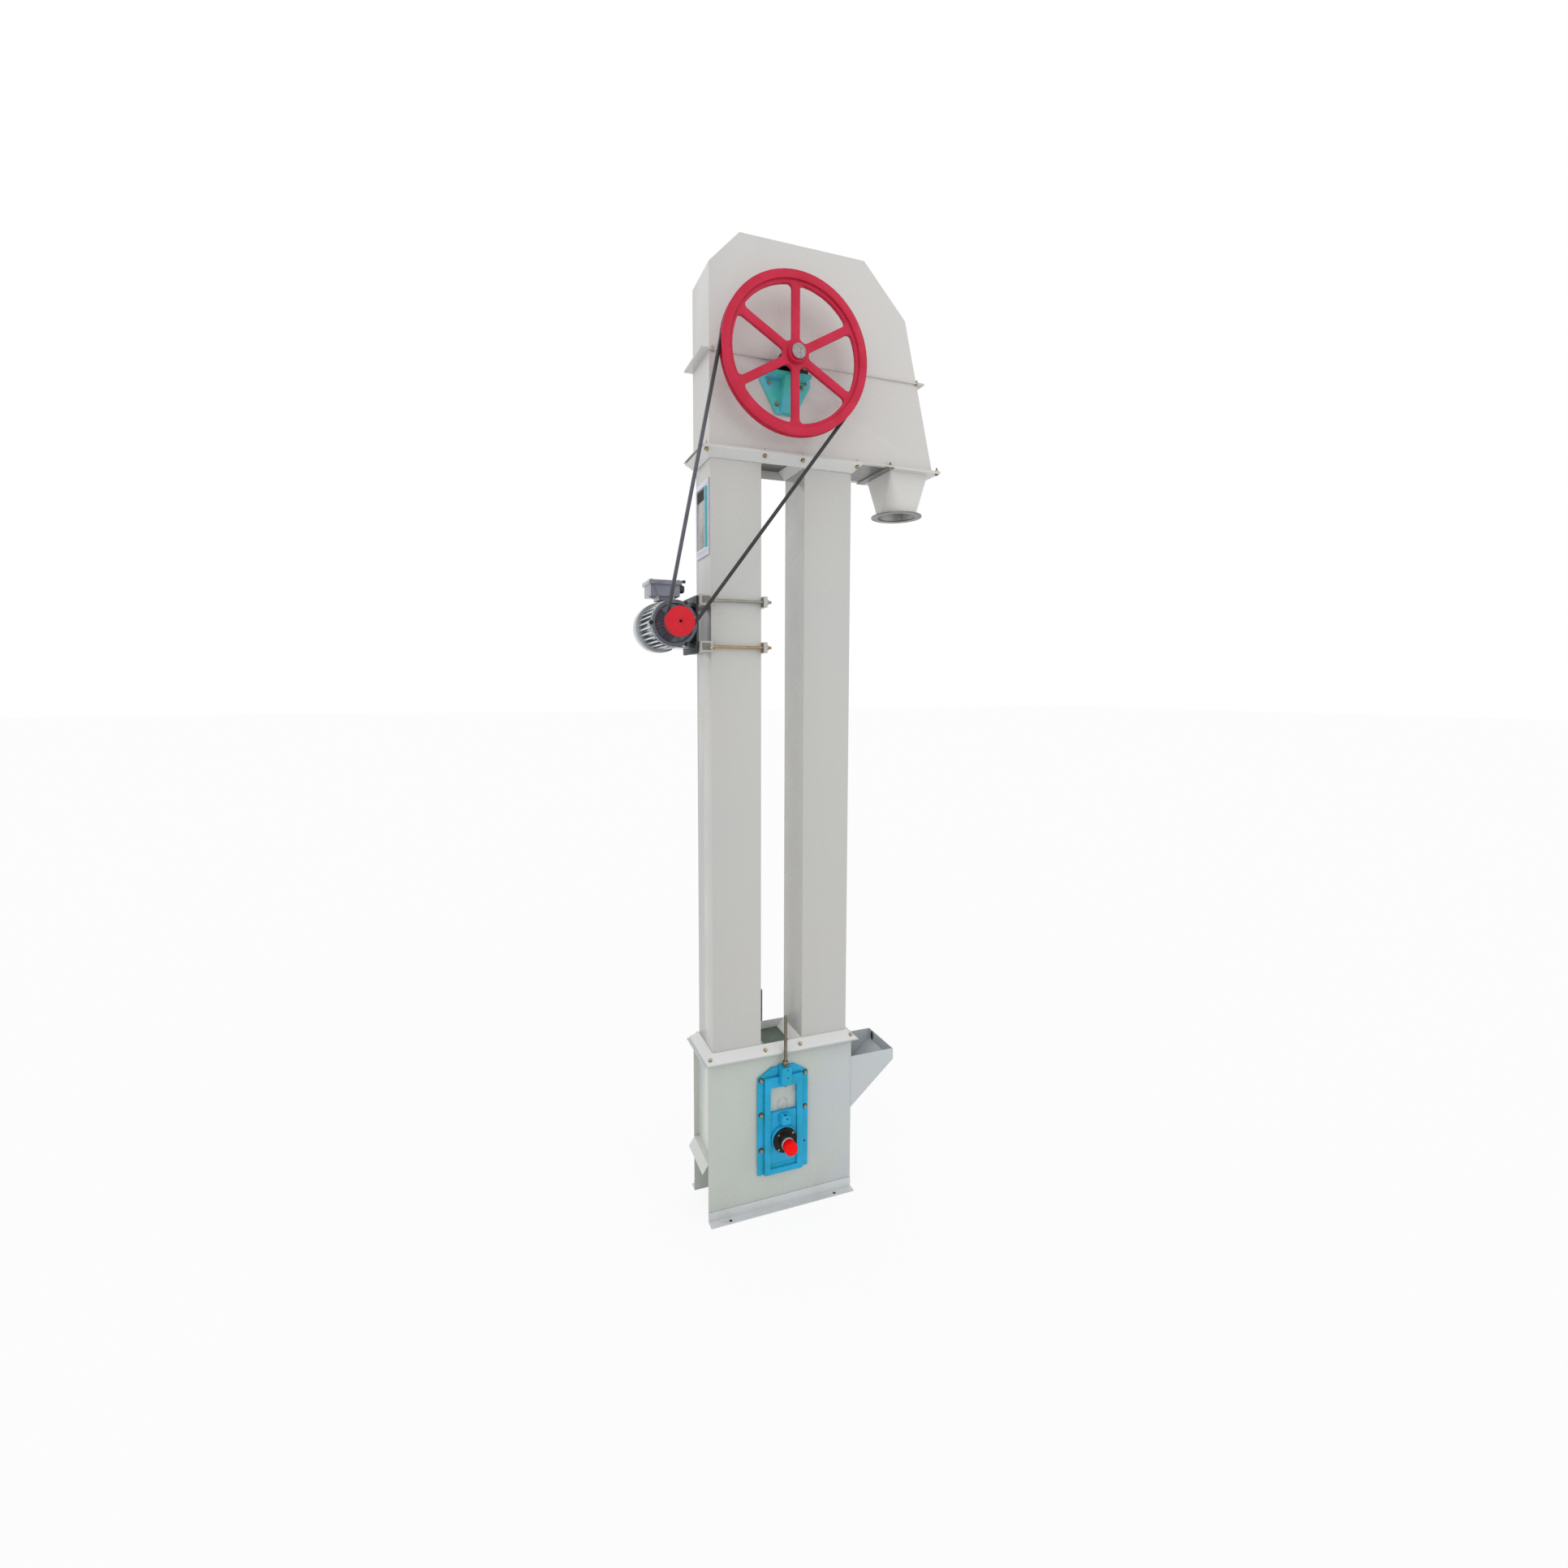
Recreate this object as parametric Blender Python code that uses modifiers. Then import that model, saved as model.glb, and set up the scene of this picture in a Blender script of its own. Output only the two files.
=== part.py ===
"""A small belt and bucket elevator for grain, about 3.4 m tall, with its motor drive.

Metres, +Z up. The legs stand side by side along X, and the drive is on the front, at -Y.
The origin is on the underside of the front foot, at its centre.
"""

import math

import bmesh
import bpy

# Sheet, clearances and round pieces
GAP = 0.0003
SLIDE_CLEARANCE = 0.0005
RUN_CLEARANCE = 0.0008
LEG_SHEET = 0.002
HEAD_SHEET = 0.002
BOOT_SHEET = 0.003
FLANGE_SHEET = 0.004
OPEN_SIDE = -0.01
WELD_DISTANCE = 0.00002
ROUND_STEPS = 40
SMALL_STEPS = 24

# Legs
LEG_SPAN = 0.520
LEG_WIDTH = 0.180
LEG_DEPTH = 0.170
FRAME_OUT = 0.030
FRAME_RISE = 0.030
FRAME_EDGE = 0.004

# Boot
BOOT_OVERHANG = 0.021
BOOT_SIDE_OUT = 0.007
BOOT_TOP = 0.588
BOOT_LIP = 0.023
FOOT_WIDTH = 0.034
FOOT_RISE = 0.036
FOOT_HOLE_IN = 0.076
FOOT_HOLE_OUT = 0.0205
FOOT_HOLE_RADIUS = 0.0055
END_RECESS = 0.018
PLATE_LIP_STEP = 0.004
TAIL_Z = 0.263
TROUGH_CLEARANCE = 0.0142
TROUGH_SHOULDER_DROP = 0.051
TROUGH_LIP_OUT = 0.021
TROUGH_LIP_RISE = 0.031

# Feed hopper
HOPPER_REACH = 0.182
HOPPER_TOP_DROP = 0.078
HOPPER_MOUTH_DROP = 0.042
HOPPER_FOOT_DROP = 0.276
HOPPER_THROAT_EDGE = 0.008

# Head
HEAD_BASE = 2.680
HEAD_SIDE_OUT = 0.010
HEAD_OVERHANG = 0.006
SEAM_RISE = 0.307
SHAFT_RISE = 0.293
COVER_SHOULDER_RISE = 0.579
COVER_TOP_RISE = 0.688
COVER_CORNER_RISE = 0.516
COVER_LEFT_SLOPE = 0.105
COVER_RIGHT_SLOPE = 0.167
HEAD_LEAN = 0.125
SEAM_FLANGE_OUT = 0.030
SEAM_STRIP_OUT = 0.006
SEAM_FLANGE_SHEET = 0.003
HEAD_LIP = 0.022
HEAD_PLATE_STEP = 0.002
SHAFT_HOLE_CLEARANCE = 0.004

# Discharge spout
SPOUT_SETBACK = 0.160
SPOUT_WIDTH = 0.156
SPOUT_SIDE_IN = 0.010
SPOUT_MARGIN = 0.013
SPOUT_OUTLET_DROP = 0.147
SPOUT_MOUTH_STEP = 0.0014
SPOUT_OUTLET_RADIUS = 0.070
OUTLET_FLANGE_RADIUS = 0.0935
SPOUT_LIP = 0.030
SPOUT_QUARTER = 8

# Shafts, drums and the bucket belt
SHAFT_RADIUS = 0.0175
DRUM_INSET = 0.018
DRUM_LENGTH = 0.132
BELT_WIDTH = 0.125
BELT_THICKNESS = 0.005
BUCKET_COUNT = 26
BUCKET_WIDTH = 0.110
BUCKET_REACH = 0.075
BUCKET_HEIGHT = 0.070
BUCKET_TOE = 0.030
BUCKET_WALL = 0.002
BUCKET_DEPTH = 0.050
BUCKET_LIP_DROP = 0.014
BUCKET_SINK = 0.001
TAIL_SHAFT_RADIUS = 0.015

# Spoked drive pulley
PULLEY_RADIUS = 0.257
PULLEY_OUT = 0.102
RIM_WIDTH = 0.028
RIM_DEPTH = 0.027
RIM_STEPS = 72
GROOVE_DEPTH = 0.0135
GROOVE_MOUTH = 0.0175
GROOVE_FLOOR = 0.0095
WEB_OUTER_RADIUS = 0.237
WEB_THICKNESS = 0.014
WINDOW_OUTER_RADIUS = 0.218
WINDOW_INNER_RADIUS = 0.046
SPOKE_COUNT = 6
SPOKE_WIDTH = 0.027
WINDOW_CORNER = 0.014
HUB_RADIUS = 0.031
HUB_LENGTH = 0.050
HUB_OUT = 0.111
SHAFT_OUT = 0.122
SHAFT_BACK_OUT = 0.065

# Drive belt
VEE_DEPTH = 0.0105
VEE_WIDTH = 0.0158
VEE_INNER_WIDTH = 0.0085
VEE_SINK = 0.0008

# Head bearings
BRACKET_WIDTH = 0.182
BRACKET_FOOT_WIDTH = 0.070
BRACKET_HEIGHT = 0.122
BRACKET_PLATE = 0.008
SHELF_REACH = 0.048
SHELF_WIDTH = 0.150
SHELF_THICKNESS = 0.010
RIB_WIDTH = 0.034
BRACKET_TOE = 0.004
BLOCK_CENTRE_HEIGHT = 0.040
BLOCK_LENGTH = 0.130
BLOCK_BASE = 0.014
BLOCK_WIDTH = 0.034
BLOCK_RADIUS = 0.036

# Sight window
WINDOW_DROP = 0.215
WINDOW_HEIGHT = 0.252
WINDOW_WIDTH = 0.142
WINDOW_BORDER = 0.026
WINDOW_FRAME_THICKNESS = 0.010
WINDOW_FRAME_EDGE = 0.004
WINDOW_BEAD = 0.008
GLASS_THICKNESS = 0.004

# Motor and its mount
MOTOR_DROP = 0.577
MOTOR_SHAFT_HEIGHT = 0.080
MOTOR_PULLEY_RADIUS = 0.0475
MOTOR_SHAFT_RADIUS = 0.0095
CENTRE_HOLE_RADIUS = 0.005
CENTRE_HOLE_DEPTH = 0.008
MOTOR_FRONT = 0.104
MOTOR_BACK = 0.076
MOTOR_BODY_RADIUS = 0.066
MOTOR_FIN_RADIUS = 0.078
MOTOR_FIN_COUNT = 28
FIN_FOOT = 0.55
FIN_CREST_START = 0.62
FIN_CREST_END = 0.93
MOTOR_SHIELD_RADIUS = 0.076
MOTOR_SHIELD_DEPTH = 0.020
SHIELD_RIB_COUNT = 12
SHIELD_RIB_WIDTH = 0.004
SHIELD_DISH = 0.007
SHIELD_DRAFT = 0.003
SHIELD_BOSS_RADIUS = 0.024
SHIELD_RING_RADIUS = 0.064
MOTOR_BOSS_DEPTH = 0.008
COWL_LENGTH = 0.078
COWL_RADIUS = 0.086
COWL_ROUND = 0.024
FOOT_PAD_Z = 0.0580
FOOT_PAD_HEIGHT = 0.034
FOOT_PAD_LENGTH = 0.125
TERMINAL_WIDTH = 0.097
TERMINAL_LENGTH = 0.100
TERMINAL_SHIFT = 0.019
TERMINAL_SETBACK = 0.026
TERMINAL_TOP = 0.140
TERMINAL_LID = 0.012
TERMINAL_LID_RISE = 0.002
TERMINAL_LID_OUT = 0.006
TERMINAL_NECK = 0.012
TERMINAL_NECK_IN = 0.010
GLAND_RADIUS = 0.012
GLAND_LENGTH = 0.020
GLAND_BACK = 0.028
GLAND_DROP = 0.022
MOUNT_PLATE_THICKNESS = 0.008
MOUNT_PLATE_HEIGHT = 0.190
MOUNT_PLATE_FRONT = 0.095
MOUNT_PLATE_BACK = 0.072
CLAMP_DEPTH = 0.045
CLAMP_HEIGHT = 0.036
CLAMP_BACK_DEPTH = 0.014
CLAMP_OUT = 0.024
CLAMP_ROD_RADIUS = 0.005
CLAMP_ROD_OUT = 0.011
CLAMP_ROD_TAIL = 0.018
CLAMP_ABOVE = 0.082
CLAMP_BELOW = 0.072

# Take-up on the boot
TAKEUP_HALF_WIDTH = 0.098
TAKEUP_RAIL_HALF_WIDTH = 0.074
TAKEUP_WINDOW_HALF_WIDTH = 0.052
TAKEUP_DROP = 0.128
TAKEUP_SILL_HEIGHT = 0.020
TAKEUP_WINDOW_RISE = 0.197
TAKEUP_SHOULDER_RISE = 0.235
TAKEUP_CROWN = 0.033
TAKEUP_CROWN_HALF_WIDTH = 0.045
TAKEUP_PLATE = 0.009
TAKEUP_RAIL = 0.019
BOSS_HALF_WIDTH = 0.018
BOSS_WALL = 0.015
BOSS_BELOW_TOP = 0.056
BOSS_OVER_TOP = 0.009
SCREW_OUT = 0.031
SCREW_RADIUS = 0.006
SCREW_TIP_DROP = 0.009
SCREW_RISE = 0.188
NUT_RISE = 0.013
NUT_HEIGHT = 0.012
NUT_RADIUS = 0.012
SLIDER_DROP = 0.091
SLIDER_RISE = 0.101
SLIDER_PLATE = 0.013
SLIDER_BOSS_RADIUS = 0.049
SLIDER_BOSS_OUT = 0.026
SLIDER_BOSS_EDGE = 0.003
EAR_HALF_WIDTH = 0.016
EAR_DROP = 0.006
EAR_HEIGHT = 0.032
EAR_WALL = 0.010
EAR_TAP_DEPTH = 0.006
BEARING_RADIUS = 0.046
BEARING_EDGE = 0.003
BEARING_THICKNESS = 0.010
SLOT_HALF_WIDTH = 0.020
SLOT_TRAVEL = 0.125
SLEEVE_RADIUS = 0.0185
SEAL_HALF_WIDTH = 0.045
SEAL_DROP = 0.101
SEAL_RISE = 0.177
SEAL_THICKNESS = 0.003
TAIL_END_RADIUS = 0.023
TAIL_END_OUT = 0.093

# Places worked out from the sizes above
BOOT_DEPTH = LEG_DEPTH + 2 * BOOT_SIDE_OUT
HEAD_DEPTH = LEG_DEPTH + 2 * HEAD_SIDE_OUT
SPOUT_DEPTH = HEAD_DEPTH - 2 * SPOUT_SIDE_IN
MACHINE_Y = BOOT_DEPTH / 2 + FOOT_WIDTH / 2
DRUM_RADIUS = LEG_SPAN / 2 - LEG_WIDTH + LEG_SHEET + DRUM_INSET
BELT_RADIUS = DRUM_RADIUS + RUN_CLEARANCE + BELT_THICKNESS
TROUGH_RADIUS = BELT_RADIUS + BUCKET_REACH + TROUGH_CLEARANCE
BOOT_WIDTH = LEG_SPAN + 2 * BOOT_OVERHANG
BOOT_INNER = BOOT_DEPTH / 2 - BOOT_SHEET - GAP
BOOT_CEILING = BOOT_TOP - FLANGE_SHEET - GAP
TROUGH_SHOULDER_Z = TAIL_Z - TROUGH_SHOULDER_DROP
END_LOW = TROUGH_SHOULDER_Z + BOOT_SHEET + GAP
HOPPER_TOP = BOOT_TOP - HOPPER_TOP_DROP
HOPPER_FOOT_Z = BOOT_TOP - HOPPER_FOOT_DROP
LEG_X = LEG_SPAN / 2 - LEG_WIDTH / 2
LEG_BOTTOM = BOOT_TOP + GAP
LEG_TOP = HEAD_BASE - GAP
HEAD_LEFT = -LEG_SPAN / 2 - HEAD_OVERHANG
SPOUT_LEFT = LEG_SPAN / 2 + SPOUT_SETBACK
SPOUT_RIGHT = SPOUT_LEFT + SPOUT_WIDTH
SPOUT_OUTLET_Z = HEAD_BASE - SPOUT_OUTLET_DROP
HEAD_BASE_RIGHT = SPOUT_RIGHT + SPOUT_MARGIN
SEAM_Z = HEAD_BASE + SEAM_RISE
SHAFT_Z = HEAD_BASE + SHAFT_RISE
COVER_SHOULDER_Z = HEAD_BASE + COVER_SHOULDER_RISE
COVER_TOP = HEAD_BASE + COVER_TOP_RISE
COVER_TOP_LEFT = HEAD_LEFT + COVER_LEFT_SLOPE
COVER_CORNER_X = HEAD_BASE_RIGHT - HEAD_LEAN
COVER_CORNER_Z = HEAD_BASE + COVER_CORNER_RISE
COVER_TOP_RIGHT = COVER_CORNER_X - COVER_RIGHT_SLOPE
PULLEY_FRONT = HEAD_DEPTH / 2 + PULLEY_OUT
HUB_FRONT = HEAD_DEPTH / 2 + HUB_OUT
SHAFT_FRONT = HEAD_DEPTH / 2 + SHAFT_OUT
SHAFT_BACK = HEAD_DEPTH / 2 + SHAFT_BACK_OUT
WINDOW_Z = HEAD_BASE - WINDOW_DROP
MOTOR_Z = HEAD_BASE - MOTOR_DROP
CLAMP_UPPER_Z = MOTOR_Z + CLAMP_ABOVE
CLAMP_LOWER_Z = MOTOR_Z - CLAMP_BELOW
MOUNT_PLATE_X = -LEG_SPAN / 2 - GAP - CLAMP_DEPTH - GAP - MOUNT_PLATE_THICKNESS
MOTOR_X = MOUNT_PLATE_X - GAP - MOTOR_SHAFT_HEIGHT
BELT_Y = -PULLEY_FRONT + RIM_WIDTH / 2
TAKEUP_BOTTOM = TAIL_Z - TAKEUP_DROP
TAKEUP_SILL = TAKEUP_BOTTOM + TAKEUP_SILL_HEIGHT
TAKEUP_WINDOW_TOP = TAIL_Z + TAKEUP_WINDOW_RISE
TAKEUP_SHOULDER = TAIL_Z + TAKEUP_SHOULDER_RISE
TAKEUP_TOP = TAKEUP_SHOULDER + TAKEUP_CROWN
BOSS_BOTTOM = TAKEUP_TOP - BOSS_BELOW_TOP
BOSS_TOP = TAKEUP_TOP + BOSS_OVER_TOP
SCREW_TIP = BOSS_BOTTOM - SCREW_TIP_DROP
SCREW_TOP = BOSS_TOP + SCREW_RISE
NUT_Z = BOSS_TOP + NUT_RISE
SLIDER_BOTTOM = TAIL_Z - SLIDER_DROP
SLIDER_TOP = TAIL_Z + SLIDER_RISE
EAR_TOP = SLIDER_TOP - EAR_DROP
SEAL_BOTTOM = TAIL_Z - SEAL_DROP
SEAL_TOP = TAIL_Z + SEAL_RISE
FRONT = -1
BACK = 1

for thing in list(bpy.data.objects):
    bpy.data.objects.remove(thing, do_unlink=True)

parts = bpy.data.collections.new("bucket_elevator")
cutters = bpy.data.collections.new("cutters")
bpy.context.scene.collection.children.link(parts)
bpy.context.scene.collection.children.link(cutters)
cutters.hide_render = True

# The whole machine hangs on an empty at the middle of its footprint
centre = bpy.data.objects.new("machine_centre", None)
centre.location = (0, MACHINE_Y, 0)
parts.objects.link(centre)


def paint(name, colour, roughness, metallic=0.0):
    material = bpy.data.materials.new(name)
    material.use_nodes = True
    shader = material.node_tree.nodes["Principled BSDF"]
    shader.inputs["Base Color"].default_value = (*colour, 1)
    shader.inputs["Roughness"].default_value = roughness
    shader.inputs["Metallic"].default_value = metallic
    return material


WHITE_PAINT = (0.62, 0.61, 0.58)
RED_PAINT = (0.60, 0.03, 0.05)
BLUE_PAINT = (0.02, 0.30, 0.50)
GREEN_PAINT = (0.05, 0.42, 0.40)
MOTOR_PAINT = (0.10, 0.12, 0.15)
STEEL = (0.45, 0.45, 0.44)
RUBBER = (0.02, 0.02, 0.02)
BLACK_IRON = (0.012, 0.012, 0.014)
GLASS = (0.55, 0.65, 0.66)


def add(name, mesh, material, location=(0, 0, 0), rotation=(0, 0, 0)):
    """A piece of the machine: its material is (name, colour, roughness, metallic)."""
    obj = bpy.data.objects.new(name, mesh)
    parts.objects.link(obj)
    obj.parent = centre
    obj.location = location
    obj.rotation_euler = rotation
    mesh.materials.append(paint(name + "_finish", *material))
    return obj


def helper(name, mesh, location=(0, 0, 0), rotation=(0, 0, 0)):
    """A shape that only cuts another or is joined to it."""
    obj = bpy.data.objects.new(name, mesh)
    cutters.objects.link(obj)
    obj.parent = centre
    obj.location = location
    obj.rotation_euler = rotation
    obj.hide_render = True
    obj.display_type = "WIRE"
    return obj


def combine(obj, other, operation):
    modifier = obj.modifiers.new(operation.lower() + "_" + other.name, "BOOLEAN")
    modifier.operation = operation
    modifier.object = other


def join(obj, other):
    combine(obj, other, "UNION")


def cut(obj, other):
    combine(obj, other, "DIFFERENCE")


def finished(bm, name):
    """The mesh of a closed bmesh, with its faces pointing out."""
    bmesh.ops.recalc_face_normals(bm, faces=bm.faces)
    mesh = bpy.data.meshes.new(name)
    bm.to_mesh(mesh)
    bm.free()
    return mesh


def block(low, high):
    """A box between two corners."""
    bm = bmesh.new()
    bmesh.ops.create_cube(bm, size=1)
    size = [b - a for a, b in zip(low, high)]
    middle = [(a + b) / 2 for a, b in zip(low, high)]
    bmesh.ops.scale(bm, vec=size, verts=bm.verts)
    bmesh.ops.translate(bm, vec=middle, verts=bm.verts)
    return finished(bm, "block")


def rod(radius, length, steps=SMALL_STEPS):
    """A round bar along Z, centred."""
    bm = bmesh.new()
    bmesh.ops.create_cone(
        bm, cap_ends=True, segments=steps, radius1=radius, radius2=radius, depth=length
    )
    mesh = finished(bm, "rod")
    mesh.shade_smooth()
    mesh.set_sharp_from_angle(angle=math.radians(40))
    return mesh


def sheet(outline, thickness, holes=()):
    """A flat sheet in the XY plane, its thickness centred on that plane."""
    curve = bpy.data.curves.new("outline", "CURVE")
    curve.dimensions = "2D"
    curve.fill_mode = "BOTH"
    curve.extrude = thickness / 2
    for ring in [outline, *holes]:
        spline = curve.splines.new("POLY")
        spline.points.add(len(ring) - 1)
        for point, (x, y) in zip(spline.points, ring):
            point.co = (x, y, 0, 1)
        spline.use_cyclic_u = True
    guide = bpy.data.objects.new("outline", curve)
    cutters.objects.link(guide)
    graph = bpy.context.evaluated_depsgraph_get()
    mesh = bpy.data.meshes.new_from_object(guide.evaluated_get(graph))
    bpy.data.objects.remove(guide)
    bm = bmesh.new()
    bm.from_mesh(mesh)
    bmesh.ops.remove_doubles(bm, verts=bm.verts, dist=WELD_DISTANCE)
    return finished(bm, "sheet")


def prism(outline, length):
    """A solid with this outline in the XY plane, its length centred on that plane."""
    bm = bmesh.new()
    face = bm.faces.new([bm.verts.new((x, y, -length / 2)) for x, y in outline])
    grown = bmesh.ops.extrude_face_region(bm, geom=[face])
    tops = [item for item in grown["geom"] if isinstance(item, bmesh.types.BMVert)]
    bmesh.ops.translate(bm, vec=(0, 0, length), verts=tops)
    return finished(bm, "prism")


def rectangle(low, high):
    return [(low[0], low[1]), (high[0], low[1]), (high[0], high[1]), (low[0], high[1])]


def arc(centre_point, radius, start, end, steps):
    """Points on an arc, both ends included, with angles in degrees."""
    points = []
    for i in range(steps + 1):
        angle = math.radians(start + (end - start) * i / steps)
        x = centre_point[0] + radius * math.cos(angle)
        y = centre_point[1] + radius * math.sin(angle)
        points.append((x, y))
    return points


def moved_in(outline, distances):
    """An anticlockwise outline with each of its sides moved in by its own distance."""
    lines = []
    for i, (x, y) in enumerate(outline):
        after = outline[(i + 1) % len(outline)]
        length = math.hypot(after[0] - x, after[1] - y)
        normal = ((y - after[1]) / length, (after[0] - x) / length)
        lines.append((normal, normal[0] * x + normal[1] * y + distances[i]))
    points = []
    for i, ((a, b), c) in enumerate(lines):
        (d, e), f = lines[i - 1]
        share = a * e - b * d
        points.append(((c * e - b * f) / share, (a * f - c * d) / share))
    return points


def circle(centre_point, radius, steps):
    return arc(centre_point, radius, 0, 360 * (1 - 1 / steps), steps - 1)


def turned(name, profile, closed=False):
    """A mesh to be spun about Z: points are (radius, height), down the outer side."""
    mesh = bpy.data.meshes.new(name)
    edges = [(i, i + 1) for i in range(len(profile) - 1)]
    if closed:
        edges.append((len(profile) - 1, 0))
    mesh.from_pydata([(r, 0, h) for r, h in profile], edges, [])
    return mesh


def spin(obj, steps=ROUND_STEPS):
    modifier = obj.modifiers.new("spin", "SCREW")
    modifier.axis = "Z"
    modifier.steps = steps
    modifier.render_steps = steps
    modifier.use_merge_vertices = True
    modifier.merge_threshold = WELD_DISTANCE
    modifier.use_smooth_shade = True
    return obj


def swept(path, section):
    """A bar of one section bent round a closed path in the XY plane, its corners mitred.

    The path runs anticlockwise. The section's points are (outward, along Z).
    """
    bm = bmesh.new()
    rings = []
    count = len(path)
    for i, (x, y) in enumerate(path):
        before, after = path[i - 1], path[(i + 1) % count]
        back = math.atan2(y - before[1], x - before[0])
        ahead = math.atan2(after[1] - y, after[0] - x)
        turn = (ahead - back + math.pi) % (2 * math.pi) - math.pi
        outward = back + turn / 2 - math.pi / 2
        stretch = 1 / math.cos(turn / 2)
        ring = []
        for out, along in section:
            px = x + out * stretch * math.cos(outward)
            py = y + out * stretch * math.sin(outward)
            ring.append(bm.verts.new((px, py, along)))
        rings.append(ring)
    for i, ring in enumerate(rings):
        after = rings[(i + 1) % count]
        for j in range(len(section)):
            k = (j + 1) % len(section)
            bm.faces.new((ring[j], ring[k], after[k], after[j]))
    return finished(bm, "swept")


# A sheet or a spun piece stands up with its own Z along the machine's -Y
UPRIGHT = (math.radians(90), 0, 0)
# The same for a piece on the back, whose own Z points along +Y
TURNED_BACK = (math.radians(-90), 0, 0)
# A prism across the machine's length, its own X along Y and its own Z along X
CROSSWISE = (math.radians(90), 0, math.radians(90))


# Boot walls, with the slot that the tail shaft slides in
def boot_wall(name, side):
    low = (-BOOT_WIDTH / 2, 0)
    high = (BOOT_WIDTH / 2, BOOT_TOP - FLANGE_SHEET - GAP)
    bottom = arc((0, TAIL_Z), SLOT_HALF_WIDTH, 180, 360, 10)
    top = arc((0, TAIL_Z + SLOT_TRAVEL), SLOT_HALF_WIDTH, 0, 180, 10)
    wall = sheet(rectangle(low, high), BOOT_SHEET, [bottom + top])
    add(name, wall, WALL, (0, side * (BOOT_DEPTH - BOOT_SHEET) / 2, 0), UPRIGHT)


WALL = (WHITE_PAINT, 0.35)
boot_wall("boot_front_wall", FRONT)
boot_wall("boot_back_wall", BACK)


# Angle iron feet, with two holes each for the floor bolts
def boot_foot(name, side):
    face = BOOT_DEPTH / 2 + GAP
    section = [
        (side * face, 0),
        (side * (BOOT_DEPTH / 2 + FOOT_WIDTH), 0),
        (side * (BOOT_DEPTH / 2 + FOOT_WIDTH), BOOT_SHEET),
        (side * (face + BOOT_SHEET), BOOT_SHEET),
        (side * (face + BOOT_SHEET), FOOT_RISE),
        (side * face, FOOT_RISE),
    ]
    foot = add(name, prism(section, BOOT_WIDTH), WALL, (0, 0, 0), CROSSWISE)
    hole_x = BOOT_WIDTH / 2 - FOOT_HOLE_IN
    for x in (-hole_x, hole_x):
        y = side * (BOOT_DEPTH / 2 + FOOT_HOLE_OUT)
        hole = helper(name + "_hole", rod(FOOT_HOLE_RADIUS, 4 * BOOT_SHEET, 12), (x, y, 0))
        cut(foot, hole)


boot_foot("front_foot", FRONT)
boot_foot("back_foot", BACK)


# End walls between the two side walls: the left one set back, the right one open to the hopper
left_end_x = -BOOT_WIDTH / 2 + END_RECESS
left_end = block(
    (left_end_x, -BOOT_INNER, END_LOW),
    (left_end_x + BOOT_SHEET, BOOT_INNER, BOOT_CEILING),
)
add("boot_left_end", left_end, WALL)
right_end = sheet(
    rectangle((-BOOT_INNER, END_LOW), (BOOT_INNER, BOOT_CEILING)),
    BOOT_SHEET,
    [
        rectangle(
            (-BOOT_INNER + HOPPER_THROAT_EDGE, HOPPER_FOOT_Z),
            (BOOT_INNER - HOPPER_THROAT_EDGE, HOPPER_TOP - HOPPER_THROAT_EDGE / 2),
        )
    ],
)
add("boot_right_end", right_end, WALL, (BOOT_WIDTH / 2 - BOOT_SHEET / 2, 0, 0), CROSSWISE)


# Round-bottomed trough under the tail drum, its left end folded down into a lip
def trough_line(offset):
    """Half of the trough's section seen from the front, from the left lip to the middle."""
    radius = TROUGH_RADIUS + offset
    shoulder = TROUGH_SHOULDER_Z - offset
    drop = math.degrees(math.asin((TAIL_Z - shoulder) / radius))
    end = -BOOT_WIDTH / 2
    lip = (end - TROUGH_LIP_OUT, shoulder - TROUGH_LIP_RISE)
    return [lip, (end, shoulder), *arc((0, TAIL_Z), radius, 180 + drop, 270, 12)]


under = trough_line(0)
over = trough_line(-BOOT_SHEET)
under_full = under + [(-x, z) for x, z in reversed(under[1:-1])]
over_full = over + [(-x, z) for x, z in reversed(over[1:-1])]
trough = prism(under_full + over_full[::-1], 2 * BOOT_INNER)
add("boot_trough", trough, WALL, (0, 0, 0), UPRIGHT)


# Flange plates that the legs and the spout bolt to
def leg_mouths(sheet_thickness):
    """The two openings under or over the legs."""
    mouths = []
    for x in (-LEG_X, LEG_X):
        half = LEG_WIDTH / 2 - sheet_thickness
        depth = LEG_DEPTH / 2 - sheet_thickness
        mouths.append(rectangle((x - half, -depth), (x + half, depth)))
    return mouths


top_plate_half = (BOOT_WIDTH / 2 + BOOT_LIP - PLATE_LIP_STEP, BOOT_DEPTH / 2 + BOOT_LIP)
boot_top_plate = sheet(
    rectangle((-top_plate_half[0], -top_plate_half[1]), top_plate_half),
    FLANGE_SHEET,
    leg_mouths(LEG_SHEET),
)
add("boot_top_plate", boot_top_plate, WALL, (0, 0, BOOT_TOP - FLANGE_SHEET / 2))

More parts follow.
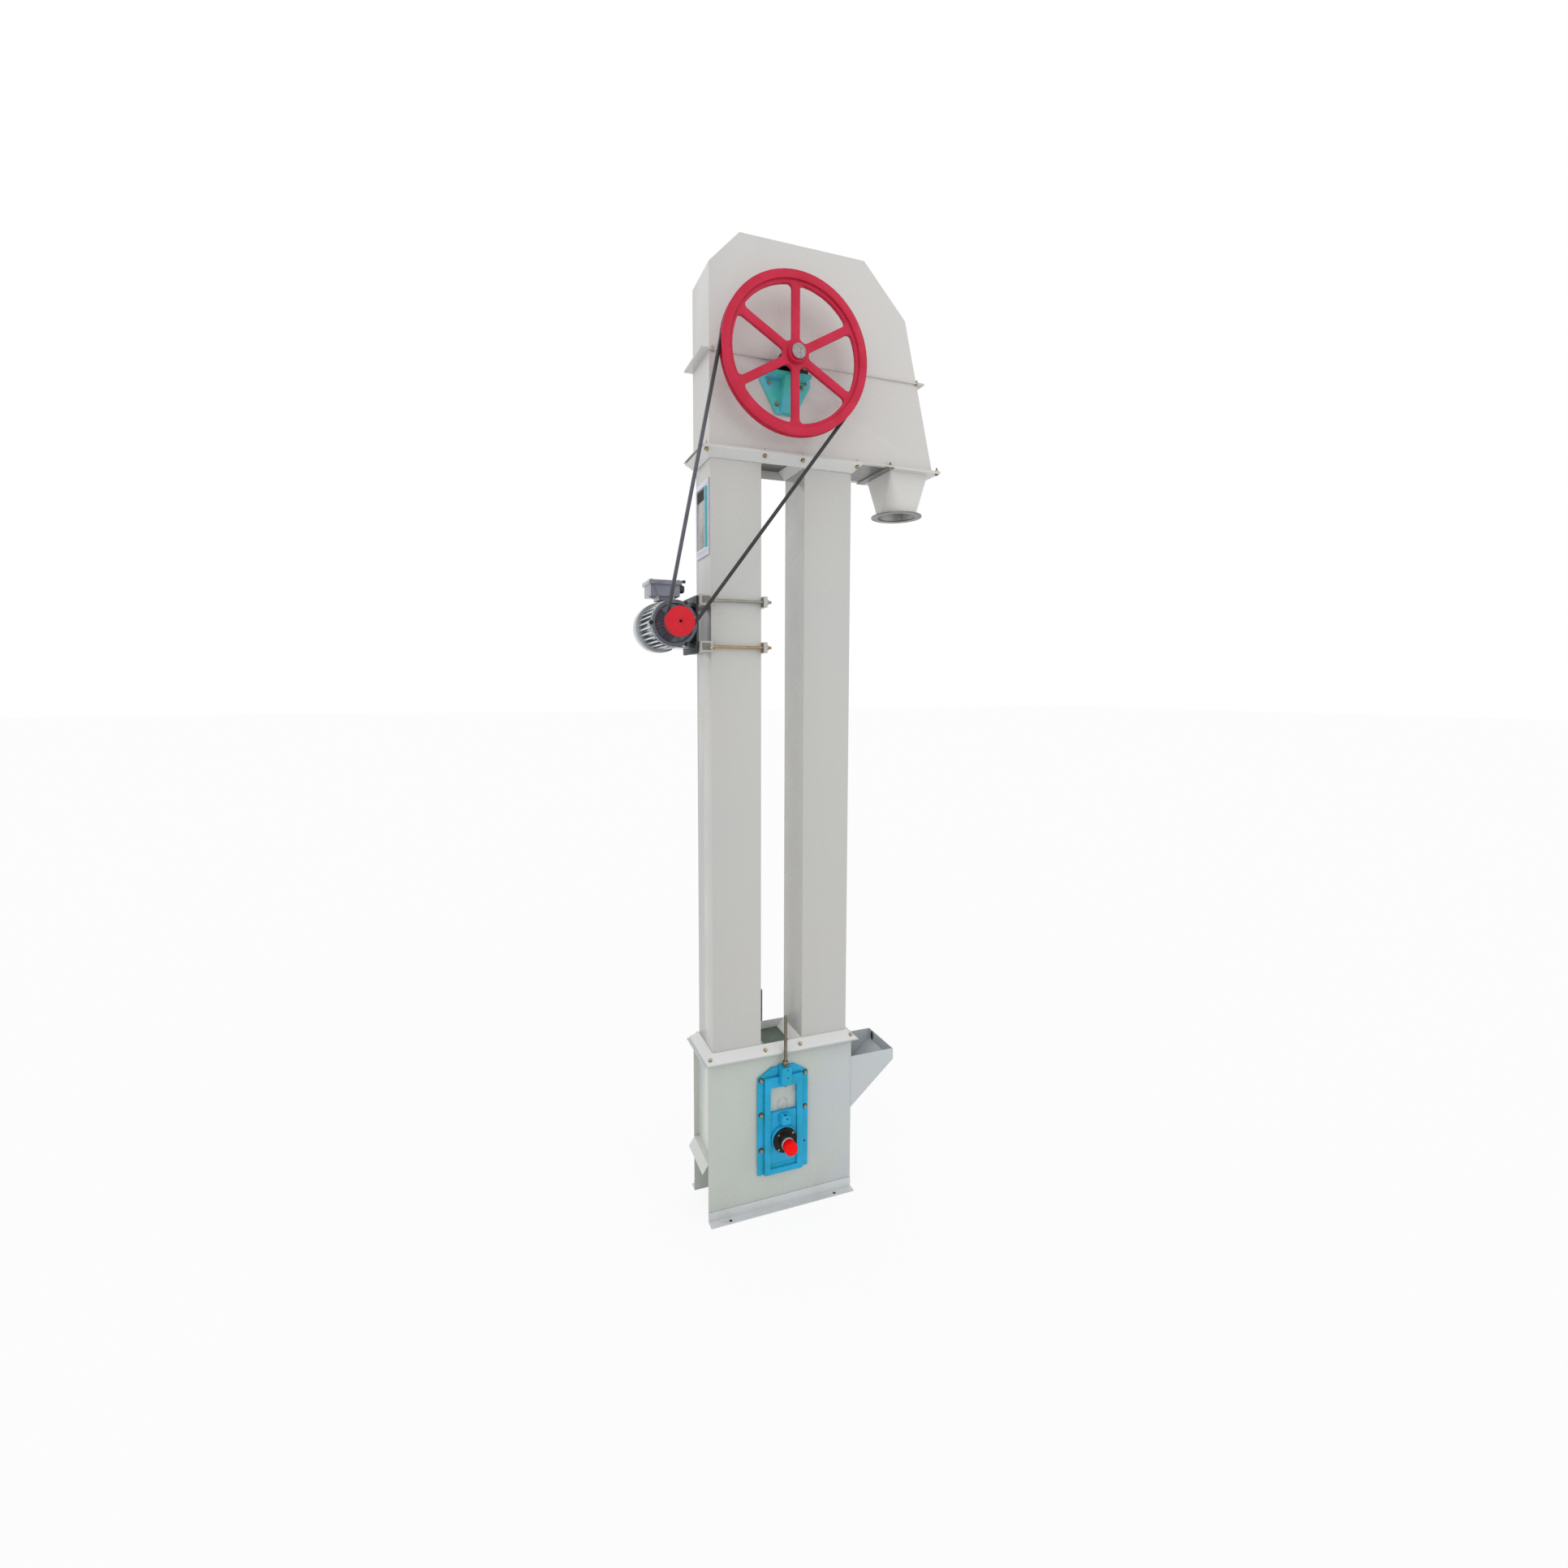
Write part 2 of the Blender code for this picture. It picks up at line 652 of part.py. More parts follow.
spout_mouth = rectangle(
    (SPOUT_LEFT + SPOUT_MOUTH_STEP, -SPOUT_DEPTH / 2 + SPOUT_MOUTH_STEP),
    (SPOUT_RIGHT - SPOUT_MOUTH_STEP, SPOUT_DEPTH / 2 - SPOUT_MOUTH_STEP),
)
head_plate_depth = HEAD_DEPTH / 2 + HEAD_LIP - HEAD_PLATE_STEP
head_base_plate = sheet(
    rectangle(
        (HEAD_LEFT - SEAM_FLANGE_OUT, -head_plate_depth),
        (HEAD_BASE_RIGHT + HEAD_LIP, head_plate_depth),
    ),
    FLANGE_SHEET,
    [*leg_mouths(LEG_SHEET), spout_mouth],
)
add("head_base_plate", head_base_plate, WALL, (0, 0, HEAD_BASE + FLANGE_SHEET / 2))


# Feed hopper: a chute on the right end of the boot, open on top and into the boot
hopper_left = BOOT_WIDTH / 2 + GAP
hopper_outline = [
    (hopper_left, HOPPER_FOOT_Z),
    (hopper_left + HOPPER_REACH, HOPPER_TOP - HOPPER_MOUTH_DROP),
    (hopper_left + HOPPER_REACH, HOPPER_TOP),
    (hopper_left, HOPPER_TOP),
]
hopper = add("feed_hopper", prism(hopper_outline, BOOT_DEPTH), WALL, (0, 0, 0), UPRIGHT)
hopper_inside = moved_in(hopper_outline, [BOOT_SHEET, BOOT_SHEET, OPEN_SIDE, OPEN_SIDE])
hollow = prism(hopper_inside, 2 * BOOT_INNER)
cut(hopper, helper("hopper_hollow", hollow, (0, 0, 0), UPRIGHT))


# Legs: rectangular sheet casings, the left one with a sight window
def leg(name, x):
    half = (LEG_WIDTH / 2, LEG_DEPTH / 2)
    inner = (half[0] - LEG_SHEET, half[1] - LEG_SHEET)
    outline = rectangle((-half[0], -half[1]), half)
    bore = rectangle((-inner[0], -inner[1]), inner)
    casing = sheet(outline, LEG_TOP - LEG_BOTTOM, [bore])
    return add(name, casing, WALL, (x, 0, (LEG_TOP + LEG_BOTTOM) / 2))


left_leg = leg("left_leg", -LEG_X)
leg("right_leg", LEG_X)
sight_width = WINDOW_WIDTH / 2 - WINDOW_BORDER
sight_height = WINDOW_HEIGHT / 2 - WINDOW_BORDER
sight_hole = block(
    (-LEG_SPAN / 2 - LEG_SHEET, -sight_width, WINDOW_Z - sight_height),
    (-LEG_SPAN / 2 + 2 * LEG_SHEET, sight_width, WINDOW_Z + sight_height),
)
cut(left_leg, helper("sight_hole", sight_hole))


# Frames round the feet and the tops of the legs, with a bar beside each leg between them
def leg_frame(name, z, upward):
    path = rectangle(
        (-LEG_SPAN / 2 - GAP, -LEG_DEPTH / 2 - GAP), (LEG_SPAN / 2 + GAP, LEG_DEPTH / 2 + GAP)
    )
    section = [
        (0, 0),
        (FRAME_OUT, 0),
        (FRAME_OUT, upward * FRAME_EDGE),
        (BOOT_SHEET, upward * FRAME_RISE),
        (0, upward * FRAME_RISE),
    ]
    frame = add(name, swept(path, section), WALL, (0, 0, z))
    for side in (-1, 1):
        face = side * (LEG_SPAN / 2 - LEG_WIDTH - GAP)
        bar_outline = [(face - side * out, z + rise) for out, rise in section]
        bar = prism(bar_outline, LEG_DEPTH + 2 * FRAME_EDGE)
        join(frame, helper(name + "_bar", bar, (0, 0, 0), UPRIGHT))


leg_frame("leg_base_frame", LEG_BOTTOM, 1)
leg_frame("leg_top_frame", LEG_TOP, -1)

# Sight window: a moulded frame, raised along its inner edge, with a pane in it
window_path = rectangle((-sight_width, -sight_height), (sight_width, sight_height))
window_section = [
    (0, 0),
    (0, -WINDOW_FRAME_THICKNESS),
    (WINDOW_BEAD, -WINDOW_FRAME_THICKNESS),
    (2 * WINDOW_BEAD, -WINDOW_FRAME_EDGE),
    (WINDOW_BORDER, -WINDOW_FRAME_EDGE),
    (WINDOW_BORDER, 0),
]
window_face = -LEG_SPAN / 2 - GAP
add(
    "window_frame", swept(window_path, window_section), (WHITE_PAINT, 0.3),
    (window_face, 0, WINDOW_Z), CROSSWISE,
)
window_x = window_face - WINDOW_FRAME_THICKNESS / 2
pane = block(
    (window_x - GLASS_THICKNESS / 2, -sight_width + GAP, -sight_height + GAP),
    (window_x + GLASS_THICKNESS / 2, sight_width - GAP, sight_height - GAP),
)
add("window_glass", pane, (GLASS, 0.1), (0, 0, WINDOW_Z))


# Head casing: a lower box and a cover, both open where they meet
def casing(name, outline, distances):
    """A hollow casing with this outline seen from the front, its sides open where
    the distance is negative."""
    obj = add(name, prism(outline, HEAD_DEPTH), WALL, (0, 0, 0), UPRIGHT)
    hollow_mesh = prism(moved_in(outline, distances), HEAD_DEPTH - 2 * HEAD_SHEET)
    cut(obj, helper(name + "_hollow", hollow_mesh, (0, 0, 0), UPRIGHT))
    return obj


slope = (HEAD_BASE_RIGHT - COVER_CORNER_X) / (COVER_CORNER_Z - HEAD_BASE)


def head_right(z):
    """Where the sloping right side of the head is at this height."""
    return COVER_CORNER_X + (COVER_CORNER_Z - z) * slope


casing_bottom = HEAD_BASE + FLANGE_SHEET + GAP
lower_outline = [
    (HEAD_LEFT, casing_bottom),
    (head_right(casing_bottom), casing_bottom),
    (head_right(SEAM_Z - GAP / 2), SEAM_Z - GAP / 2),
    (HEAD_LEFT, SEAM_Z - GAP / 2),
]
cover_outline = [
    (HEAD_LEFT, SEAM_Z + GAP / 2),
    (head_right(SEAM_Z + GAP / 2), SEAM_Z + GAP / 2),
    (COVER_CORNER_X, COVER_CORNER_Z),
    (COVER_TOP_RIGHT, COVER_TOP),
    (COVER_TOP_LEFT, COVER_TOP),
    (HEAD_LEFT, COVER_SHOULDER_Z),
]
lower_walls = [OPEN_SIDE, HEAD_SHEET, OPEN_SIDE, HEAD_SHEET]
head_lower = casing("head_lower_casing", lower_outline, lower_walls)
head_cover = casing("head_cover", cover_outline, [OPEN_SIDE] + 5 * [HEAD_SHEET])


# Seam flanges: one on each casing, wide at the ends and narrow along the sides
def seam_flange(obj, upward):
    left, right = HEAD_LEFT, head_right(SEAM_Z)
    depth = HEAD_DEPTH / 2
    ring = sheet(
        rectangle(
            (left - SEAM_FLANGE_OUT, -depth - SEAM_STRIP_OUT),
            (right + SEAM_FLANGE_OUT, depth + SEAM_STRIP_OUT),
        ),
        SEAM_FLANGE_SHEET,
        [
            rectangle(
                (left + HEAD_SHEET / 2, -depth + HEAD_SHEET / 2),
                (right - HEAD_SHEET / 2, depth - HEAD_SHEET / 2),
            )
        ],
    )
    z = SEAM_Z + upward * (GAP / 2 + SEAM_FLANGE_SHEET / 2)
    join(obj, helper(obj.name + "_flange", ring, (0, 0, z)))


seam_flange(head_lower, -1)
seam_flange(head_cover, 1)
shaft_hole = helper(
    "shaft_hole",
    rod(SHAFT_RADIUS + SHAFT_HOLE_CLEARANCE, 2 * HEAD_DEPTH),
    (0, 0, SHAFT_Z),
    UPRIGHT,
)
cut(head_lower, shaft_hole)
cut(head_cover, shaft_hole)


# Discharge spout: a square mouth gathered into a round outlet
def spout_skin(bm, inset):
    """One side of the spout's wall: its corners at the top and its ring at the bottom."""
    top = HEAD_BASE - GAP - FLANGE_SHEET / 2
    bottom = SPOUT_OUTLET_Z + FLANGE_SHEET / 2
    half_x = (SPOUT_RIGHT - SPOUT_LEFT) / 2 - inset
    half_y = SPOUT_DEPTH / 2 - inset
    corners = []
    for x, y in ((half_x, half_y), (-half_x, half_y), (-half_x, -half_y), (half_x, -half_y)):
        corners.append(bm.verts.new((x, y, top)))
    outlet = []
    for x, y in circle((0, 0), SPOUT_OUTLET_RADIUS - inset, 4 * SPOUT_QUARTER):
        outlet.append(bm.verts.new((x, y, bottom)))
    count = len(outlet)
    for i, corner in enumerate(corners):
        for j in range(i * SPOUT_QUARTER, (i + 1) * SPOUT_QUARTER):
            bm.faces.new((corner, outlet[j], outlet[(j + 1) % count]))
        end = outlet[(i + 1) * SPOUT_QUARTER % count]
        bm.faces.new((corner, end, corners[(i + 1) % 4]))
    return corners, outlet


def spout_mesh():
    bm = bmesh.new()
    outside_rings = spout_skin(bm, 0)
    inside_rings = spout_skin(bm, HEAD_SHEET)
    for ring, other in zip(outside_rings, inside_rings):
        for i in range(len(ring)):
            k = (i + 1) % len(ring)
            bm.faces.new((ring[i], ring[k], other[k], other[i]))
    return finished(bm, "spout")


spout_middle = ((SPOUT_LEFT + SPOUT_RIGHT) / 2, 0)
spout = add("discharge_spout", spout_mesh(), WALL, (*spout_middle, 0))
spout_flange = sheet(
    rectangle(
        (SPOUT_LEFT - SPOUT_LIP, -head_plate_depth), (HEAD_BASE_RIGHT + HEAD_LIP, head_plate_depth)
    ),
    FLANGE_SHEET,
    [spout_mouth],
)
flange_place = (0, 0, HEAD_BASE - GAP - FLANGE_SHEET / 2)
join(spout, helper("spout_top_flange", spout_flange, flange_place))
outlet_flange = sheet(
    circle((0, 0), OUTLET_FLANGE_RADIUS, ROUND_STEPS),
    FLANGE_SHEET,
    [circle((0, 0), SPOUT_OUTLET_RADIUS - SPOUT_MOUTH_STEP, ROUND_STEPS)],
)
outlet_place = (*spout_middle, SPOUT_OUTLET_Z + FLANGE_SHEET / 2)
join(spout, helper("spout_outlet_flange", outlet_flange, outlet_place))


# Head bearings: a cast bracket under a black pillow block, front and back
def bearing_bracket(name, side):
    shelf_top = SHAFT_Z - BLOCK_CENTRE_HEIGHT - GAP
    face = HEAD_DEPTH / 2 + GAP
    outline = [
        (-BRACKET_FOOT_WIDTH / 2, shelf_top - BRACKET_HEIGHT),
        (BRACKET_FOOT_WIDTH / 2, shelf_top - BRACKET_HEIGHT),
        (BRACKET_WIDTH / 2, shelf_top - 2 * SHELF_THICKNESS),
        (BRACKET_WIDTH / 2, shelf_top),
        (-BRACKET_WIDTH / 2, shelf_top),
        (-BRACKET_WIDTH / 2, shelf_top - 2 * SHELF_THICKNESS),
    ]
    place = (0, side * (face + BRACKET_PLATE / 2), 0)
    bracket = add(name, prism(outline, BRACKET_PLATE), (GREEN_PAINT, 0.4), place, UPRIGHT)
    sink = face + BRACKET_PLATE / 2
    reach = face + BRACKET_PLATE + SHELF_REACH
    shelf_low = shelf_top - SHELF_THICKNESS
    ys = sorted((side * sink, side * reach))
    shelf = block((-SHELF_WIDTH / 2, ys[0], shelf_low), (SHELF_WIDTH / 2, ys[1], shelf_top))
    join(bracket, helper(name + "_shelf", shelf))
    rib_outline = [
        (side * sink, shelf_top - BRACKET_HEIGHT + BRACKET_TOE),
        (side * (face + BRACKET_PLATE + BRACKET_TOE), shelf_top - BRACKET_HEIGHT + BRACKET_TOE),
        (side * (reach - BRACKET_TOE), shelf_low + SHELF_THICKNESS / 3),
        (side * sink, shelf_low + SHELF_THICKNESS / 3),
    ]
    rib = prism(rib_outline, RIB_WIDTH)
    join(bracket, helper(name + "_rib", rib, (0, 0, 0), CROSSWISE))


def pillow_block(name, side):
    base = SHAFT_Z - BLOCK_CENTRE_HEIGHT
    half = BLOCK_LENGTH / 2
    outline = [(-half, base), (half, base), (half, base + BLOCK_BASE)]
    outline += arc((0, SHAFT_Z), BLOCK_RADIUS, -35, 215, 20)
    outline += [(-half, base + BLOCK_BASE)]
    bore = circle((0, SHAFT_Z), SHAFT_RADIUS + GAP, ROUND_STEPS)
    y = side * (HEAD_DEPTH / 2 + BRACKET_PLATE + SHELF_REACH / 2)
    add(name, sheet(outline, BLOCK_WIDTH, [bore]), (BLACK_IRON, 0.4), (0, y, 0), UPRIGHT)


for label, side in (("front", FRONT), ("back", BACK)):
    bearing_bracket(label + "_bearing_bracket", side)
    pillow_block(label + "_pillow_block", side)


# Spoked drive pulley, the piece with the most work in it
def pulley_window(angle):
    """One opening between two spokes, its corners rounded, turned to this angle."""
    half_step = math.pi / SPOKE_COUNT
    offset = SPOKE_WIDTH / 2 + WINDOW_CORNER
    spoke = (math.cos(-half_step), math.sin(-half_step))
    normal = (-spoke[1], spoke[0])
    normal_angle = math.degrees(math.atan2(normal[1], normal[0]))

    def corner_centre(distance):
        along = math.sqrt(distance**2 - offset**2)
        x = spoke[0] * along + normal[0] * offset
        y = spoke[1] * along + normal[1] * offset
        return (x, y)

    outer = corner_centre(WINDOW_OUTER_RADIUS - WINDOW_CORNER)
    inner = corner_centre(WINDOW_INNER_RADIUS + WINDOW_CORNER)
    outer_angle = math.degrees(math.atan2(outer[1], outer[0]))
    inner_angle = math.degrees(math.atan2(inner[1], inner[0]))
    points = arc(inner, WINDOW_CORNER, inner_angle + 180, normal_angle + 180, 4)
    points += arc(outer, WINDOW_CORNER, normal_angle - 180, outer_angle, 4)
    points += arc((0, 0), WINDOW_OUTER_RADIUS, outer_angle, 0, 4)[1:]
    points += [(x, -y) for x, y in reversed(points[:-1])]
    cos_a, sin_a = math.cos(math.radians(angle)), math.sin(math.radians(angle))
    return [(x * cos_a - y * sin_a, x * sin_a + y * cos_a) for x, y in points]


def vee_rim(outer, width, inner, centred_at):
    """The section of a rim with a belt groove, down its outer side and up its inner one."""
    half = width / 2
    mouth, floor = GROOVE_MOUTH / 2, GROOVE_FLOOR / 2
    outline = [(outer, half), (outer, mouth), (outer - GROOVE_DEPTH, floor)]
    outline += [(outer - GROOVE_DEPTH, -floor), (outer, -mouth), (outer, -half)]
    outline += [(inner, -half), (inner, half)]
    return [(r, h + centred_at) for r, h in outline]


step_angle = 360 / SPOKE_COUNT
windows = [pulley_window(i * step_angle) for i in range(SPOKE_COUNT)]
bore = circle((0, 0), SHAFT_RADIUS + GAP, ROUND_STEPS)
web = sheet(circle((0, 0), WEB_OUTER_RADIUS, ROUND_STEPS), WEB_THICKNESS, [bore, *windows])
pulley_place = (0, BELT_Y, SHAFT_Z)
pulley = add("drive_pulley", web, (RED_PAINT, 0.35), pulley_place, UPRIGHT)
rim_outline = vee_rim(PULLEY_RADIUS, RIM_WIDTH, PULLEY_RADIUS - RIM_DEPTH, 0)
rim = helper("pulley_rim", turned("rim", rim_outline, closed=True), pulley_place, UPRIGHT)
spin(rim, RIM_STEPS)
hub_top = HUB_FRONT - PULLEY_FRONT + RIM_WIDTH / 2
hub_outline = [
    (HUB_RADIUS, hub_top),
    (HUB_RADIUS, hub_top - HUB_LENGTH),
    (SHAFT_RADIUS + GAP, hub_top - HUB_LENGTH),
    (SHAFT_RADIUS + GAP, hub_top),
]
hub = helper("pulley_hub", turned("hub", hub_outline, closed=True), pulley_place, UPRIGHT)
spin(hub)
join(pulley, rim)
join(pulley, hub)


# Shafts with their drums, turned as one
def shaft_outline(front, back, shaft_radius, end_step=None):
    """From the front end to the back one, with the drum in the middle."""
    half = DRUM_LENGTH / 2
    points = [(0, front), (shaft_radius, front)]
    if end_step:
        points = [(0, front), (end_step[0], front), (end_step[0], end_step[1])]
        points += [(shaft_radius, end_step[1])]
    points += [(shaft_radius, half), (DRUM_RADIUS, half), (DRUM_RADIUS, -half)]
    points += [(shaft_radius, -half)]
    if end_step:
        points += [(shaft_radius, -end_step[1]), (end_step[0], -end_step[1])]
        points += [(end_step[0], back), (0, back)]
        return points
    return points + [(shaft_radius, back), (0, back)]


head_shaft_outline = shaft_outline(SHAFT_FRONT, -SHAFT_BACK, SHAFT_RADIUS)
head_shaft = add(
    "head_shaft", turned("head_shaft", head_shaft_outline), (STEEL, 0.3, 1.0),
    (0, 0, SHAFT_Z), UPRIGHT,
)
spin(head_shaft)


# Take-up: a cast frame, the plate that slides in it, and the screw over it
def outside(side, out):
    """The Y of a point this far out from the boot's face."""
    return side * (BOOT_DEPTH / 2 + out)


def slab(side, low, high, near, far):
    """A box on the boot's face, between two distances out from it."""
    ys = sorted((outside(side, near), outside(side, far)))
    return block((low[0], ys[0], low[1]), (high[0], ys[1], high[1]))


def takeup_frame(name, side):
    window = rectangle(
        (-TAKEUP_WINDOW_HALF_WIDTH, TAKEUP_SILL), (TAKEUP_WINDOW_HALF_WIDTH, TAKEUP_WINDOW_TOP)
    )
    outline = [
        (-TAKEUP_HALF_WIDTH, TAKEUP_BOTTOM),
        (TAKEUP_HALF_WIDTH, TAKEUP_BOTTOM),
        (TAKEUP_HALF_WIDTH, TAKEUP_SHOULDER),
        (TAKEUP_CROWN_HALF_WIDTH, TAKEUP_TOP),
        (-TAKEUP_CROWN_HALF_WIDTH, TAKEUP_TOP),
        (-TAKEUP_HALF_WIDTH, TAKEUP_SHOULDER),
    ]
    plate = sheet(outline, TAKEUP_PLATE, [window])
    y = outside(side, GAP + TAKEUP_PLATE / 2)
    frame = add(name, plate, (BLUE_PAINT, 0.35), (0, y, 0), UPRIGHT)
    rail_rise = TAKEUP_RAIL - TAKEUP_PLATE / 2
    rails = sheet(
        rectangle(
            (-TAKEUP_RAIL_HALF_WIDTH, TAKEUP_BOTTOM), (TAKEUP_RAIL_HALF_WIDTH, TAKEUP_SHOULDER)
        ),
        rail_rise,
        [window],
    )
    rail_y = outside(side, GAP + TAKEUP_RAIL - rail_rise / 2)
    join(frame, helper(name + "_rails", rails, (0, rail_y, 0), UPRIGHT))
    boss = slab(
        side,
        (-BOSS_HALF_WIDTH, BOSS_BOTTOM),
        (BOSS_HALF_WIDTH, BOSS_TOP),
        TAKEUP_PLATE / 2,
        SCREW_OUT + BOSS_WALL,
    )
    join(frame, helper(name + "_boss", boss))
    drill_length = 2 * (BOSS_TOP - BOSS_BOTTOM + BOSS_WALL)
    drill = rod(SCREW_RADIUS + SLIDE_CLEARANCE, drill_length)
    cut(frame, helper(name + "_drill", drill, (0, outside(side, SCREW_OUT), BOSS_TOP)))


def takeup_screw(name, side):
    length = SCREW_TOP - SCREW_TIP
    place = (0, outside(side, SCREW_OUT), SCREW_TIP + length / 2)
    screw = add(name, rod(SCREW_RADIUS, length), (STEEL, 0.35, 1.0), place)
    nut = rod(NUT_RADIUS, NUT_HEIGHT, 6)
    join(screw, helper(name + "_nut", nut, (0, outside(side, SCREW_OUT), NUT_Z)))


def takeup_slider(name, side):
    half = TAKEUP_WINDOW_HALF_WIDTH - SLIDE_CLEARANCE
    plate = slab(side, (-half, SLIDER_BOTTOM), (half, SLIDER_TOP), GAP, SLIDER_PLATE)
    slider = add(name, plate, (BLUE_PAINT, 0.35))
    boss_mesh = rod(SLIDER_BOSS_RADIUS, SLIDER_BOSS_OUT - SLIDER_PLATE / 2, ROUND_STEPS)
    boss_y = outside(side, (SLIDER_BOSS_OUT + SLIDER_PLATE / 2) / 2)
    boss = helper(name + "_boss", boss_mesh, (0, boss_y, TAIL_Z), UPRIGHT)
    edge = boss.modifiers.new("edge", "BEVEL")
    edge.width = SLIDER_BOSS_EDGE
    edge.segments = 2
    join(slider, boss)
    ear = slab(
        side,
        (-EAR_HALF_WIDTH, EAR_TOP - EAR_HEIGHT),
        (EAR_HALF_WIDTH, EAR_TOP),
        SLIDER_PLATE / 2,
        SCREW_OUT + EAR_WALL,
    )
    join(slider, helper(name + "_ear", ear))
    seal_face = BOOT_SHEET + GAP
    sleeve = rod(SLEEVE_RADIUS, SLIDER_PLATE / 2 + seal_face + SEAL_THICKNESS / 2)
    sleeve_y = outside(side, (SLIDER_PLATE / 2 - seal_face - SEAL_THICKNESS / 2) / 2)
    join(slider, helper(name + "_sleeve", sleeve, (0, sleeve_y, TAIL_Z), UPRIGHT))
    seal = slab(
        side,
        (-SEAL_HALF_WIDTH, SEAL_BOTTOM),
        (SEAL_HALF_WIDTH, SEAL_TOP),
        -seal_face,
        -seal_face - SEAL_THICKNESS,
    )
    join(slider, helper(name + "_seal", seal))
    bore = rod(TAIL_SHAFT_RADIUS + GAP, 4 * SLIDER_BOSS_OUT, ROUND_STEPS)
    cut(slider, helper(name + "_bore", bore, (0, outside(side, 0), TAIL_Z), UPRIGHT))
    tap = rod(SCREW_RADIUS + SLIDE_CLEARANCE, 2 * EAR_TAP_DEPTH)
    cut(slider, helper(name + "_tap", tap, (0, outside(side, SCREW_OUT), EAR_TOP)))


def takeup_bearing(name, side):
    near = BOOT_DEPTH / 2 + SLIDER_BOSS_OUT + GAP
    far = near + BEARING_THICKNESS
    outline = [
        (BEARING_RADIUS - BEARING_EDGE, far),
        (BEARING_RADIUS, far - BEARING_EDGE),
        (BEARING_RADIUS, near),
        (TAIL_SHAFT_RADIUS + GAP, near),
        (TAIL_SHAFT_RADIUS + GAP, far),
    ]
    turn = UPRIGHT if side == FRONT else TURNED_BACK
    mesh = turned("bearing", outline, closed=True)
    spin(add(name, mesh, (BLACK_IRON, 0.3), (0, 0, TAIL_Z), turn))


for label, side in (("front", FRONT), ("back", BACK)):
    takeup_frame(label + "_takeup_frame", side)
    takeup_screw(label + "_takeup_screw", side)
    takeup_slider(label + "_takeup_slider", side)
    takeup_bearing(label + "_tail_bearing", side)

tail_end = BOOT_DEPTH / 2 + TAIL_END_OUT
tail_step = BOOT_DEPTH / 2 + SLIDER_BOSS_OUT + BEARING_THICKNESS + 2 * GAP
tail_outline = shaft_outline(
    tail_end, -tail_end, TAIL_SHAFT_RADIUS, (TAIL_END_RADIUS, tail_step)
)
tail_shaft = add(
    "tail_shaft", turned("tail_shaft", tail_outline), (STEEL, 0.3, 1.0), (0, 0, TAIL_Z), UPRIGHT
)
spin(tail_shaft)


# Belt with buckets: one fixed loop over both drums
def belt_point(distance):
    """Place and outward direction at this distance round the loop, up the left side."""
    radius = BELT_RADIUS
    straight = SHAFT_Z - TAIL_Z
    half_turn = math.pi * radius
    distance %= 2 * (straight + half_turn)
    if distance < straight:
        return (-radius, TAIL_Z + distance), math.pi
    distance -= straight
    if distance < half_turn:
        angle = math.pi - distance / radius
        place = (radius * math.cos(angle), SHAFT_Z + radius * math.sin(angle))
        return place, angle
    distance -= half_turn
    if distance < straight:
        return (radius, SHAFT_Z - distance), 0
    angle = -(distance - straight) / radius
    return (radius * math.cos(angle), TAIL_Z + radius * math.sin(angle)), angle


def bucket_mesh():
    """One bucket in its own frame: its back at X = 0, its mouth up at +Z."""
    bm = bmesh.new()
    bmesh.ops.create_cube(bm, size=1)
    bmesh.ops.scale(bm, vec=(BUCKET_REACH, BUCKET_WIDTH, BUCKET_HEIGHT), verts=bm.verts)
    bmesh.ops.translate(bm, vec=(BUCKET_REACH / 2, 0, 0), verts=bm.verts)
    toe = [v for v in bm.verts if v.co.x > BUCKET_TOE and v.co.z < 0]
    bmesh.ops.translate(bm, vec=(BUCKET_TOE - BUCKET_REACH, 0, 0), verts=toe)
    lip = [v for v in bm.verts if v.co.x > BUCKET_TOE and v.co.z > 0]
    bmesh.ops.translate(bm, vec=(0, 0, -BUCKET_LIP_DROP), verts=lip)
    bm.faces.ensure_lookup_table()
    mouth = [f for f in bm.faces if f.normal.z > 0.5]
    bmesh.ops.inset_region(bm, faces=mouth, thickness=2 * BUCKET_WALL)
    deep = bmesh.ops.extrude_face_region(bm, geom=mouth)
    floor = [item for item in deep["geom"] if isinstance(item, bmesh.types.BMVert)]
    bmesh.ops.delete(bm, geom=mouth, context="FACES")
    for vert in floor:
        vert.co.z -= BUCKET_DEPTH
        if vert.co.x > BUCKET_REACH / 2:
            vert.co.x = BUCKET_TOE
    return finished(bm, "bucket")


